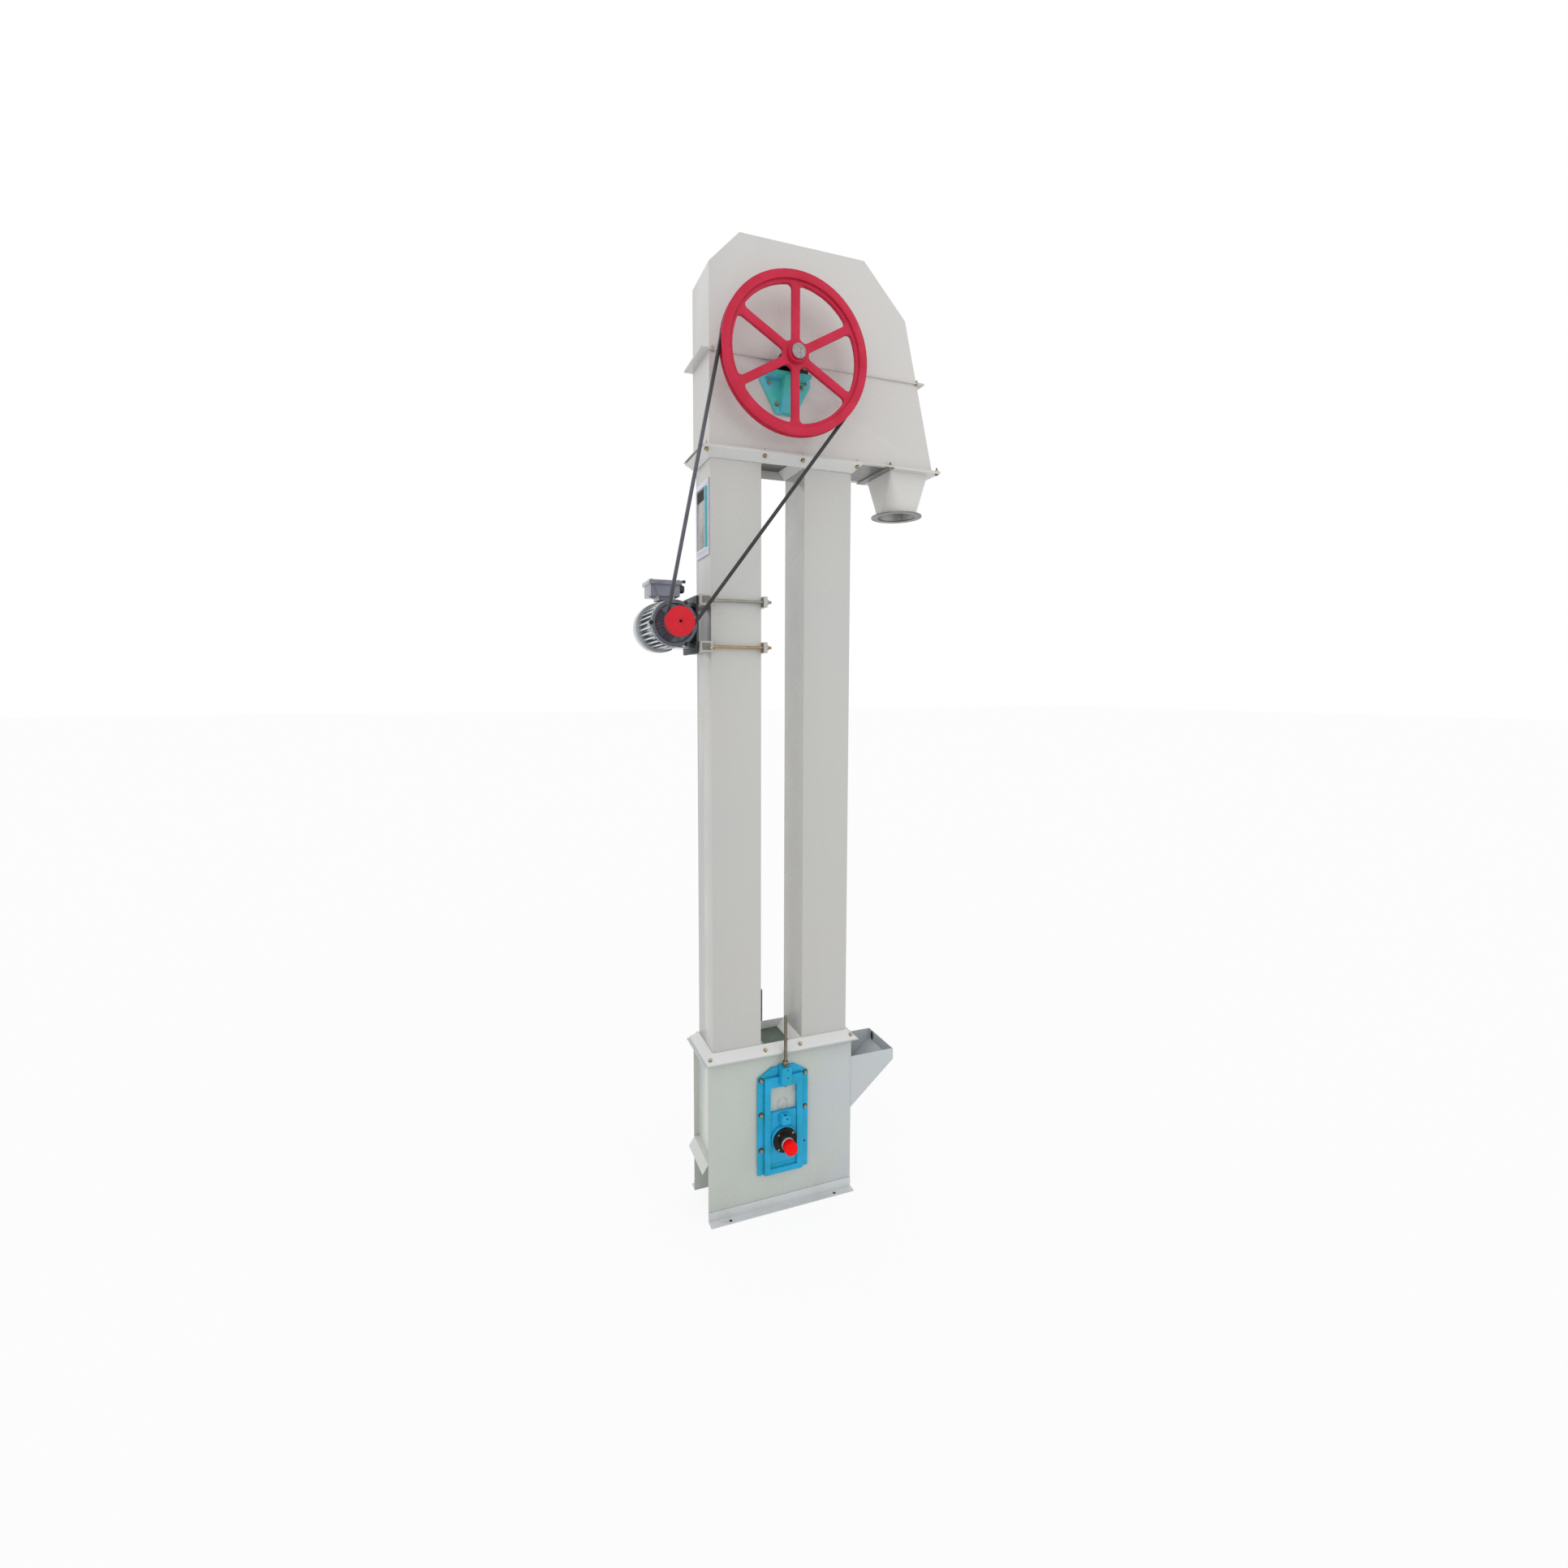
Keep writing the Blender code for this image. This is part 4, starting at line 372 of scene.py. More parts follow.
for x, inward in ((base_low.x, 1), (base_high.x, -1)):
    for y, inner in ((base_low.y, 1), (base_high.y, -1)):
        corner = Vector((x + inward * MITRE_IN, y + inner * MITRE_IN, 0))
        leg_corner = corner + Vector((inward * FRAME_WIDTH, inner * FRAME_WIDTH, 0))
        for outer_z, inner_z in (
            (base_low.z + FRAME_LIP, base_high.z),
            (top_high.z - FRAME_LIP, top_low.z),
        ):
            corner.z, leg_corner.z = outer_z, inner_z
            bead_end = corner.lerp(leg_corner, 0.96)
            add_bead(mitres, corner, bead_end, MITRE_BEAD, MITRE_RIPPLE)
finish_piece(mitres, "leg_frame_welds", frame_painted_light_enamel, "casing")


# Flange bolts: zinc-plated hexagon bolts with washers, square to the frames' sloping faces.
# Yellow chromate gives them a brassy, uneven colour, and painted shade turns them brown in the
# corners.
def plated(name, first, second, roughness=0.36):
    """Plated steel in two tones, with painted shade where its faces meet in a corner."""
    material, tree, shader, where = new_finish(name, roughness, 1.0)
    cast = remap(tree, noise(tree, where, 120.0, 4.0), 0.35, 0.65)
    tone = blend_colours(tree, cast, first, second)
    tone = blend_colours(tree, painted_corner_shade(tree, 0.003, 0.7), tone, shade(first, 0.25))
    tree.links.new(tone, shader.inputs["Base Color"])
    raise_surface(tree, shader, noise(tree, where, 1500.0, 2.0), 0.2, 0.0002)
    return material


def add_bolt(bm, place, size, tail=0.0):
    """A hexagon head or nut on its washer, with the end of its thread past it if it has one."""
    washer, head = 0.20 * size, 0.72 * size
    add_disc(bm, place, 1.16 * size, 1.12 * size, -0.0002, washer, 20)
    add_disc(bm, place, 0.90 * size, size, washer, washer + 0.12 * head, 6)
    add_disc(bm, place, size, size, washer + 0.12 * head, washer + 0.84 * head, 6)
    add_disc(bm, place, 0.93 * size, 0.78 * size, washer + 0.80 * head, washer + head, 18)
    if tail:
        ring = 0.00125
        for i in range(max(2, round(tail / ring))):
            low = washer + head + i * ring
            add_disc(bm, place, 0.42 * size, 0.50 * size, low, low + ring / 2, 12)
            add_disc(bm, place, 0.50 * size, 0.42 * size, low + ring / 2, low + ring, 12)


zinc = plated("yellow_zinc", (0.27, 0.20, 0.11), (0.52, 0.43, 0.29))
bright_zinc = plated("bright_zinc", (0.46, 0.46, 0.45), (0.30, 0.28, 0.26))
SLOPE_OUT, SLOPE_UP = 0.693, 0.721
BASE_BOLTS_X = (-0.070, 0.066, 0.272)
BASE_BOLTS_OUT = 0.1032
BASE_BOLTS_UP = 0.0156
BASE_BOLT = 0.0062
TOP_BOLTS_X = (-0.076, 0.063, 0.272)
TOP_BOLTS_OUT = 0.1072
TOP_BOLTS_DOWN = 0.0118
TOP_BOLT = 0.0066
flange_bolts = bmesh.new()
for side, left_end in ((-1, -0.276), (1, -0.262)):
    for x in (left_end, *BASE_BOLTS_X):
        spot = (x, middle_y + side * BASE_BOLTS_OUT, base_low.z + BASE_BOLTS_UP)
        add_bolt(flange_bolts, seat(spot, (0, side * SLOPE_OUT, SLOPE_UP)), BASE_BOLT)
    for x in (left_end - 0.004, *TOP_BOLTS_X):
        spot = (x, middle_y + side * TOP_BOLTS_OUT, top_high.z - TOP_BOLTS_DOWN)
        add_bolt(flange_bolts, seat(spot, (0, side * SLOPE_OUT, -SLOPE_UP)), TOP_BOLT)
finish_piece(flange_bolts, "leg_frame_bolts", zinc, "casing", 25)

# The thread ends of the head's bolts over its base flange, and the spout's own bolts
THREAD_ENDS_OUT = 0.1080
THREAD_END = 0.0036
SPOUT_BOLTS_OUT = 0.1060
SPOUT_BOLT = 0.0062
plate_low, plate_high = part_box("head_base_plate")
thread_ends = bmesh.new()
spout_bolts = bmesh.new()
for side, left_end, mouth in ((-1, -0.280, 0.406), (1, -0.266, 0.470)):
    for x in (left_end, *TOP_BOLTS_X):
        spot = (x, middle_y + side * THREAD_ENDS_OUT, plate_high.z - 0.001)
        add_bolt(thread_ends, seat(spot, (0, 0, 1)), THREAD_END, 0.006)
    for x in (mouth, plate_high.x - 0.010):
        spot = Vector((x, middle_y + side * SPOUT_BOLTS_OUT, plate_high.z))
        add_bolt(spout_bolts, seat(spot, (0, 0, 1)), SPOUT_BOLT, 0.007)
        spot.z = plate_low.z - 0.0043
        add_bolt(spout_bolts, seat(spot, (0, 0, -1)), SPOUT_BOLT)
finish_piece(thread_ends, "head_flange_thread_ends", bright_zinc, "casing", 25)
finish_piece(spout_bolts, "spout_flange_bolts", zinc, "casing", 25)


# Head: a lower casing and a cover in folded sheet, bolted together at their flanges' corners.
# The base plate closes it below and carries the spout. Its lower face between the legs is bare,
# mottled metal, painted dark grey as the shade that falls there.
HEAD_WARM_GREY = (0.640, 0.620, 0.590)
HEAD_COOL_GREY = (0.630, 0.625, 0.612)
head_enamel = enamel("head_enamel", HEAD_WARM_GREY, HEAD_COOL_GREY)
dress("head_lower_casing", head_enamel)
dress("head_cover", head_enamel)
plate_finish = enamel("head_plate_enamel", HEAD_WARM_GREY, HEAD_COOL_GREY)


def shade_under_head(tree, x, y, z):
    below = within(tree, z, plate_low.z - 0.001, plate_low.z + 0.0008)
    middle = within(tree, y, leg_low.y - 0.01, leg_high.y + 0.01)
    return calculate(tree, "MULTIPLY", below, middle)


# The lower face between the legs is painted dark grey as shade, in a metallic finish.
dress("head_base_plate", recolour(plate_finish, shade_under_head, (0.20, 0.20, 0.195), 0.35, 0.6))
seam_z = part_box("head_cover")[0].z
SEAM_BOLTS_X = (-0.256, 0.514)
SEAM_BOLTS_OUT = 0.0985
SEAM_BOLT = 0.0046
seam_bolts = bmesh.new()
for side in (-1, 1):
    for x in SEAM_BOLTS_X:
        spot = Vector((x, middle_y + side * SEAM_BOLTS_OUT, seam_z + 0.003))
        add_bolt(seam_bolts, seat(spot, (0, 0, 1)), SEAM_BOLT, 0.004)
        spot.z = seam_z - 0.0033
        add_bolt(seam_bolts, seat(spot, (0, 0, -1)), SEAM_BOLT)
finish_piece(seam_bolts, "seam_bolts", zinc, "casing", 25)


# Discharge spout: sheet gathered from a square mouth to a round outlet, welded to its flanges.
# The outlet flange is a bare, greyed steel ring with a bead round its neck.
spout_low, spout_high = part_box("discharge_spout")
spout_enamel = enamel("spout_enamel", (0.700, 0.688, 0.655), (0.690, 0.685, 0.665), 0.20)


def bare_rings(tree, x, y, z):
    outlet = within(tree, z, spout_low.z - 0.001, spout_low.z + 0.0044)
    lip = within(tree, x, spout_low.x - 0.001, spout_low.x + 0.029)
    top = within(tree, z, spout_high.z - 0.006, spout_high.z - 0.0008)
    return calculate(tree, "MAXIMUM", outlet, calculate(tree, "MULTIPLY", lip, top))


spout_finish = recolour(spout_enamel, bare_rings, (0.24, 0.235, 0.23), 0.38, 0.5)
dress("discharge_spout", spout_finish, angle=40)
OUTLET_X = 0.498
NECK_RADIUS = 0.0712
BEAD_STEPS = 24
spout_beads = bmesh.new()
for i in range(BEAD_STEPS):
    ends = []
    for turn in (i, i + 1):
        angle = 2 * math.pi * turn / BEAD_STEPS
        x = OUTLET_X + NECK_RADIUS * math.cos(angle)
        ends.append((x, middle_y + NECK_RADIUS * math.sin(angle), spout_low.z + 0.0050))
    add_bead(spout_beads, *ends, 0.0016)
finish_piece(spout_beads, "spout_welds", spout_enamel, "casing")


# Head bearings: cast brackets in teal enamel, bolted to the casing, under black pillow blocks.
# The castings are rough, with thick glossy paint that runs from green to blue.
def casting_paint(name, colour, second, roughness=0.34, grain=0.30, corner_shade_tone=0.45, worn=0.35):
    """Thick glossy paint on a sand casting: mottled, with painted shade in corners, rubbed at
    edges.
    """
    material, tree, shader, where = new_finish(name, roughness)
    patches = remap(tree, noise(tree, where, 16.0, 4.0), 0.38, 0.62)
    tone = blend_colours(tree, patches, colour, second)
    pits = noise(tree, where, 260.0, 3.0)
    tone = blend_colours(tree, remap(tree, pits, 0.64, 0.78, 0.0, 0.4), tone, shade(colour, 0.5))
    # Painted shade in corners, in a darker tone of the second colour.
    tone = blend_colours(tree, painted_corner_shade(tree, 0.012, 0.85), tone, shade(second, corner_shade_tone))
    rubbed = worn_edges(tree, where, 0.0012, worn)
    tone = blend_colours(tree, rubbed, tone, shade(second, 1.6))
    tree.links.new(tone, shader.inputs["Base Color"])
    sheen = noise(tree, where, 40.0, 3.0)
    sheen = remap(tree, sheen, 0.3, 0.7, roughness - 0.08, roughness + 0.12)
    tree.links.new(sheen, shader.inputs["Roughness"])
    shader.inputs["Specular IOR Level"].default_value = 0.22
    raise_surface(tree, shader, noise(tree, where, 120.0, 4.0), grain, 0.0008)
    raise_surface(tree, shader, pits, grain * 0.6, 0.0004)
    return material


teal_paint = casting_paint(
    "teal_casting_paint", (0.075, 0.600, 0.480), (0.130, 0.560, 0.720), 0.30, 0.25, 0.70, 0.30
)
black_paint = casting_paint(
    "black_casting_paint", (0.003, 0.003, 0.003), (0.005, 0.005, 0.006), 0.34, 0.15, 0.5, 0.8
)
BRACKET_FACE = 0.008
BRACKET_BOLTS = (
    (-0.061, 2.908),
    (-0.033, 2.842),
    (0.059, 2.906),
    (0.033, 2.842),
    (0.074, 2.9245),
)
BRACKET_BOLT = 0.0066
BLOCK_BOLT_X = 0.050
BLOCK_FOOT = 0.014
BLOCK_BOLT = 0.0085
bearing_bolts = bmesh.new()
grease_nipples = bmesh.new()
for side, label in ((-1, "front"), (1, "back")):
    dress(label + "_bearing_bracket", teal_paint)
    dress(label + "_pillow_block", black_paint, 0.002, 3)
    bracket_low, bracket_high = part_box(label + "_bearing_bracket")
    wall_y = bracket_high.y if side < 0 else bracket_low.y
    face_y = wall_y + side * BRACKET_FACE
    for x, z in BRACKET_BOLTS:
        add_bolt(bearing_bolts, seat((x, face_y, z), (0, side, 0)), BRACKET_BOLT, 0.003)
    block_low, block_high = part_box(label + "_pillow_block")
    block_y = (block_low.y + block_high.y) / 2
    for x in (-BLOCK_BOLT_X, BLOCK_BOLT_X):
        spot = (x, block_y, block_low.z + BLOCK_FOOT)
        add_bolt(bearing_bolts, seat(spot, (0, 0, 1)), BLOCK_BOLT, 0.006)
    nipple = seat((0, block_y, block_high.z - 0.0005), (0, 0, 1))
    add_bolt(grease_nipples, nipple, 0.0035, 0.004)
finish_piece(bearing_bolts, "head_bearing_bolts", zinc, "casing", 25)
finish_piece(grease_nipples, "grease_nipples", zinc, "casing", 25)


# Drive pulley: a grey iron casting with six spokes, painted crimson all over.
# Its steel shaft is turned bright, with a centre hole in its back end and the belt drum keyed on
# it.
def turned_steel(name, centre, roughness=0.30):
    """Lathe-turned steel: fine rings round an axis along Y, with a little oil stain."""
    material, tree, shader, where = new_finish(name, roughness, 1.0)
    moved = add_node(tree, "Mapping", {"Vector": where, "Location": (-centre[0], 0, -centre[1])})
    rings = add_node(
        tree,
        "TexWave",
        {"Vector": moved.outputs[0], "Scale": 420.0, "Distortion": 0.6, "Detail": 2.0},
        wave_type="RINGS",
        rings_direction="Y",
    )
    stain = remap(tree, noise(tree, where, 90.0, 4.0), 0.40, 0.70)
    tone = blend_colours(tree, stain, (0.43, 0.43, 0.42), (0.34, 0.32, 0.30))
    # Painted shade, dark brown, in its corners.
    tone = blend_colours(tree, painted_corner_shade(tree, 0.005, 0.9), tone, (0.10, 0.06, 0.03))
    tree.links.new(tone, shader.inputs["Base Color"])
    raise_surface(tree, shader, rings.outputs["Fac"], 0.25, 0.0001)
    return material


def add_turned(bm, place, profile, steps=32):
    """A turned part: a line of (radius, height) points spun once round its own Z.

    A line that stays off the axis is closed into a ring."""
    part = bmesh.new()
    points = [part.verts.new((radius, 0, height)) for radius, height in profile]
    edges = [part.edges.new(pair) for pair in zip(points, points[1:])]
    if profile[0][0] > 0:
        edges.append(part.edges.new((points[-1], points[0])))
    bmesh.ops.spin(
        part,
        geom=points + edges,
        cent=(0, 0, 0),
        axis=(0, 0, 1),
        dvec=(0, 0, 0),
        angle=2 * math.pi,
        steps=steps,
        use_merge=True,
        use_duplicate=False,
    )
    part.transform(place)
    mesh = bpy.data.meshes.new("turned_part")
    part.to_mesh(mesh)
    part.free()
    bm.from_mesh(mesh)
    bpy.data.meshes.remove(mesh)


crimson = casting_paint(
    "crimson_paint", (0.540, 0.014, 0.046), (0.590, 0.020, 0.062), 0.34, 0.16, 0.42, 0.20
)
dress("drive_pulley", crimson, 0.0016)
shaft_low, shaft_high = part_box("head_shaft")
SHAFT_RADIUS = 0.0175
DRUM_HALF = 0.066
CHAMFER = 0.0012
SCREW_ROOM = 0.005
drum_radius = (shaft_high.x - shaft_low.x) / 2
shaft_z = (shaft_low.z + shaft_high.z) / 2
front_end = middle_y - shaft_low.y - SCREW_ROOM
back_end = middle_y - shaft_high.y
head_shaft = bmesh.new()
add_turned(
    head_shaft,
    seat((0, middle_y, shaft_z), (0, -1, 0)),
    [
        (0, front_end),
        (SHAFT_RADIUS - CHAMFER, front_end),
        (SHAFT_RADIUS, front_end - CHAMFER),
        (SHAFT_RADIUS, DRUM_HALF),
        (drum_radius - CHAMFER, DRUM_HALF),
        (drum_radius, DRUM_HALF - CHAMFER),
        (drum_radius, CHAMFER - DRUM_HALF),
        (drum_radius - CHAMFER, -DRUM_HALF),
        (SHAFT_RADIUS, -DRUM_HALF),
        (SHAFT_RADIUS, back_end + CHAMFER),
        (SHAFT_RADIUS - CHAMFER, back_end),
        (0.0062, back_end),
        (0.0025, back_end + 0.004),
        (0, back_end + 0.008),
    ],
    48,
)
shaft_steel = turned_steel("head_shaft_steel", (0, shaft_z))
shaft_piece = finish_piece(
    head_shaft, "turned_head_shaft", shaft_steel, "head_drive", 30
)
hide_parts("head_shaft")

# The hub's turned nose, and the washer and screw that hold the pulley on the shaft
NOSE_RADIUS = 0.0236
NOSE_BORE = 0.0177
WASHER_RADIUS = 0.0240
WASHER_BORE = 0.0060
front = seat((0, shaft_low.y, shaft_z), (0, -1, 0))
nose = bmesh.new()
add_turned(
    nose,
    front,
    [
        (NOSE_BORE, -0.0105),
        (NOSE_RADIUS, -0.0115),
        (NOSE_RADIUS, -0.0050),
        (NOSE_BORE, -0.0050),
    ],
    40,
)
finish_piece(nose, "hub_nose", crimson, "head_drive", 40)
washer = bmesh.new()
add_turned(
    washer,
    front,
    [
        (WASHER_BORE, -0.0049),
        (NOSE_RADIUS, -0.0049),
        (WASHER_RADIUS, -0.0042),
        (WASHER_RADIUS, -0.0022),
        (0.0230, -0.0014),
        (WASHER_BORE, -0.0014),
    ],
    40,
)
washer_steel = plated("washer_steel", (0.23, 0.23, 0.235), (0.34, 0.34, 0.35), 0.40)
finish_piece(washer, "shaft_end_washer", washer_steel, "head_drive", 25)
end_screw = bmesh.new()
add_disc(end_screw, front, 0.0080, 0.0080, -0.0048, -0.0008, 6)
add_disc(end_screw, front, 0.0074, 0.0062, -0.0010, 0, 18)
finish_piece(end_screw, "shaft_end_screw", zinc, "head_drive", 25)


# Drive belt: a black rubber V-belt in a fabric jacket, one loop over both pulleys.
# The slack run on the left is rubbed to a dusty blue grey.
drive_rubber = belt_rubber("drive_belt_rubber", (0.016, 0.016, 0.016), (0.035, 0.034, 0.034))


def slack_run(tree, x, y, z):
    """Left of a line that leans between the two runs, and faded out at both pulleys."""
    across = calculate(tree, "SUBTRACT", x, calculate(tree, "MULTIPLY", z, 0.40))
    left = calculate(tree, "LESS_THAN", across, -1.24)
    above = remap(tree, z, 2.12, 2.30)
    below = remap(tree, z, 2.70, 2.90, 1.0, 0.0)
    return calculate(tree, "MULTIPLY", left, calculate(tree, "MULTIPLY", above, below))


dress("drive_belt", recolour(drive_rubber, slack_run, (0.095, 0.098, 0.120)))


# Motor: a finned housing, end shield and fan cowl in glossy grey paint, with a terminal box on
# top. It stands out sideways on its feet, which are bolted to a plate, and the plate to clamps.
def glossy(material):
    """A clear, hard coat over the paint."""
    shader = material.node_tree.nodes["Principled BSDF"]
    shader.inputs["Coat Weight"].default_value = 1.0
    shader.inputs["Coat Roughness"].default_value = 0.10


slate = casting_paint(
    "slate_paint", (0.055, 0.070, 0.095), (0.080, 0.095, 0.122), 0.30, 0.10, 0.22, 0.9
)
cowl_low, cowl_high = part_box("motor_fan_cowl")
motor_x = (cowl_low.x + cowl_high.x) / 2
motor_z = (cowl_low.z + cowl_high.z) / 2


def distance_from_motor(tree, x, z):
    across = calculate(tree, "POWER", calculate(tree, "SUBTRACT", x, motor_x), 2.0)
    up = calculate(tree, "POWER", calculate(tree, "SUBTRACT", z, motor_z), 2.0)
    return calculate(tree, "SQRT", calculate(tree, "ADD", across, up), 0.0)


# Fin crests on the left half, where the light comes from, are painted pale and metallic as a
# painted highlight.
def fin_crest_highlight(tree, x, y, z):
    far_out = remap(tree, distance_from_motor(tree, x, z), 0.0740, 0.0765)
    lit_side = remap(tree, x, motor_x - 0.01, motor_x + 0.02, 1.0, 0.0)
    return calculate(tree, "MULTIPLY", far_out, lit_side)


fin_paint = casting_paint(
    "fin_paint", (0.075, 0.095, 0.125), (0.095, 0.110, 0.140), 0.28, 0.10, 0.2, 0.9
)
cowl_paint = casting_paint(
    "cowl_paint", (0.30, 0.33, 0.34), (0.42, 0.45, 0.46), 0.24, 0.08, 0.35, 0.5
)
box_paint = casting_paint(
    "terminal_box_paint", (0.165, 0.178, 0.225), (0.19, 0.20, 0.25), 0.28, 0.08
)
for paint in (slate, fin_paint, cowl_paint, box_paint):
    glossy(paint)
dress("motor_housing", recolour(fin_paint, fin_crest_highlight, (0.52, 0.54, 0.55), 0.25, 0.4))
dress("motor_end_shield", slate, 0.001)
dress("motor_fan_cowl", cowl_paint, angle=45)
terminal_low, terminal_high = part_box("motor_terminal_box")
gland_start = terminal_high.x - 0.0145


def gland_end(tree, x, y, z):
    return calculate(tree, "GREATER_THAN", x, gland_start)


box_finish = recolour(box_paint, gland_end, (0.035, 0.055, 0.045), 0.4)
dress("motor_terminal_box", box_finish, 0.002, 3)
mount_paint = casting_paint(
    "mount_plate_paint", (0.035, 0.040, 0.042), (0.090, 0.095, 0.095), 0.40
)
dress("motor_mount_plate", mount_paint, 0.001)

# Shield lugs with their screws, and the bolts through the motor's feet
shield_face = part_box("motor_end_shield")[1].y
mount_low, mount_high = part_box("motor_mount_plate")
LUG_DISTANCE = 0.0755
LUG_TOP = 0.0155
SHIELD_BOLT = 0.0056
FOOT_BOLT_Z = 0.058
FOOT_BOLT = 0.0080
shield_lugs = bmesh.new()
motor_bolts = bmesh.new()
for degrees in (60, 180, 300):
    angle = math.radians(degrees)
    x = motor_x + LUG_DISTANCE * math.cos(angle)
    z = motor_z + LUG_DISTANCE * math.sin(angle)
    spot = seat((x, shield_face, z), (0, -1, 0))
    add_turned(
        shield_lugs,
        spot,
        [
            (0, -0.012),
            (0.0085, -0.012),
            (0.0095, 0),
            (0.0092, 0.014),
            (0.0080, LUG_TOP),
            (0, LUG_TOP),
        ],
        20,
    )
    add_bolt(motor_bolts, spot @ Matrix.Translation((0, 0, LUG_TOP)), SHIELD_BOLT)
finish_piece(shield_lugs, "motor_shield_lugs", slate, "casing")
for z in (motor_z - FOOT_BOLT_Z, motor_z + FOOT_BOLT_Z):
    for y in (mount_low.y + 0.016, mount_high.y - 0.0045):
        if y < middle_y or z > motor_z:
            spot = seat((mount_low.x, y, z), (-1, 0, 0))
            add_bolt(motor_bolts, spot, FOOT_BOLT, 0.008)
finish_piece(motor_bolts, "motor_bolts", black_steel, "casing", 25)

# The terminal box's lid screws, cable gland and vent knob
LID_SCREW_IN = 0.010
LID_LENGTH = 0.109
LID_SCREW = 0.0036
GLAND_RADIUS = 0.0160
lid_screws = bmesh.new()
for x in (terminal_low.x + LID_SCREW_IN, terminal_low.x + LID_LENGTH - LID_SCREW_IN):
    for y in (terminal_low.y + LID_SCREW_IN, terminal_high.y - LID_SCREW_IN):
        add_bolt(lid_screws, seat((x, y, terminal_high.z - 0.0002), (0, 0, 1)), LID_SCREW)
finish_piece(lid_screws, "terminal_lid_screws", bright_zinc, "casing", 25)
gland = bmesh.new()
gland_foot = (gland_start - 0.005, terminal_low.y + 0.034, motor_z + 0.118)
gland_nut = seat(gland_foot, (1, 0, 0))
add_disc(gland, gland_nut, 0.0152, GLAND_RADIUS, 0, 0.0020, 6)
add_disc(gland, gland_nut, GLAND_RADIUS, 0.0152, 0.0020, 0.0060, 6)
add_turned(
    gland,
    gland_nut,
    [
        (0, 0.006),
        (0.0138, 0.006),
        (0.0142, 0.012),
        (0.0120, 0.0185),
        (0.0070, 0.0194),
        (0, 0.017),
    ],
    24,
)
gland_rubber = belt_rubber("gland_rubber", (0.030, 0.050, 0.040), (0.05, 0.075, 0.06))
finish_piece(gland, "cable_gland", gland_rubber, "casing", 40)
knob = bmesh.new()
knob_foot = (gland_start, terminal_low.y + 0.012, terminal_high.z - 0.002)
add_turned(
    knob,
    seat(knob_foot, (1, 0, 0)),
    [
        (0, -0.002),
        (0.0030, -0.002),
        (0.0030, 0.005),
        (0.0052, 0.0060),
        (0.0052, 0.0130),
        (0.0038, 0.0150),
        (0, 0.0155),
    ],
    20,
)
finish_piece(knob, "terminal_box_knob", gland_rubber, "casing", 40)

# The fan cowl's air inlet: a flat black disc as painted shade of its recess, behind a guard of
# wire rings and spokes
INLET_RADIUS = 0.052
WIRE = 0.0011
WIRE_OUT = 0.0016
cowl_middle = Vector((motor_x, cowl_high.y, motor_z))
cowl_back = seat(cowl_middle, (0, 1, 0))
inlet = bmesh.new()
add_disc(inlet, cowl_back, INLET_RADIUS, INLET_RADIUS, -0.001, 0.0004, 40)
finish_piece(inlet, "fan_inlet_shade", black_rubber, "casing")
guard = bmesh.new()
for radius in (0.012, 0.020, 0.028, 0.036, 0.044, INLET_RADIUS):
    ring = []
    for i in range(8):
        angle = i * math.pi / 4
        ring.append((radius + WIRE * math.cos(angle), WIRE_OUT + WIRE * math.sin(angle)))
    add_turned(guard, cowl_back, ring, 40)
for i in range(3):
    angle = math.pi * i / 3
    across = Vector((math.cos(angle), 0, math.sin(angle)))
    bar = seat(cowl_middle + Vector((0, WIRE_OUT, 0)) - INLET_RADIUS * across, across)
    add_disc(guard, bar, WIRE, WIRE, 0, 2 * INLET_RADIUS, 8)
finish_piece(guard, "fan_guard", black_steel, "casing", 50)

# Motor pulley, with a drilled centre, not cut but painted as a dark disc and a fainter dark ring
# of shade
pulley_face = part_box("motor_pulley")[0].y
motor_red = casting_paint(
    "motor_pulley_paint", (0.640, 0.012, 0.026), (0.680, 0.015, 0.030), 0.34, 0.10, 0.45, 0.2
)


def centre_hole_shade(tree, x, y, z):
    radius = distance_from_motor(tree, x, z)
    ring = calculate(tree, "MULTIPLY", within(tree, radius, 0.0112, 0.0124), 0.35)
    hole = calculate(tree, "LESS_THAN", radius, 0.0050)
    face = calculate(tree, "LESS_THAN", y, pulley_face + 0.012)
    return calculate(tree, "MULTIPLY", calculate(tree, "MAXIMUM", hole, ring), face)


dress("motor_pulley", recolour(motor_red, centre_hole_shade, (0.015, 0.010, 0.010)))


# Motor clamps: two enamelled bars across the leg each, drawn together by threaded tie rods.
# The upper rods are plain steel and the lower ones yellow, and all end in nuts on washers.
CLAMP_GAP = 0.0003
FAR_BAR = 0.0143
TIE_ROD_OUT = 0.096
BAR_END_OUT = 0.109
BAR_HALF = 0.012
ROD_NUT = 0.0088
BAR_BOLT = 0.0060


def tie_rods(tree, x, y, z):
    span = within(tree, x, leg_low.x - CLAMP_GAP, leg_high.x + CLAMP_GAP)
    tail = calculate(tree, "GREATER_THAN", x, leg_high.x + CLAMP_GAP + FAR_BAR)
    return calculate(tree, "MAXIMUM", span, tail)


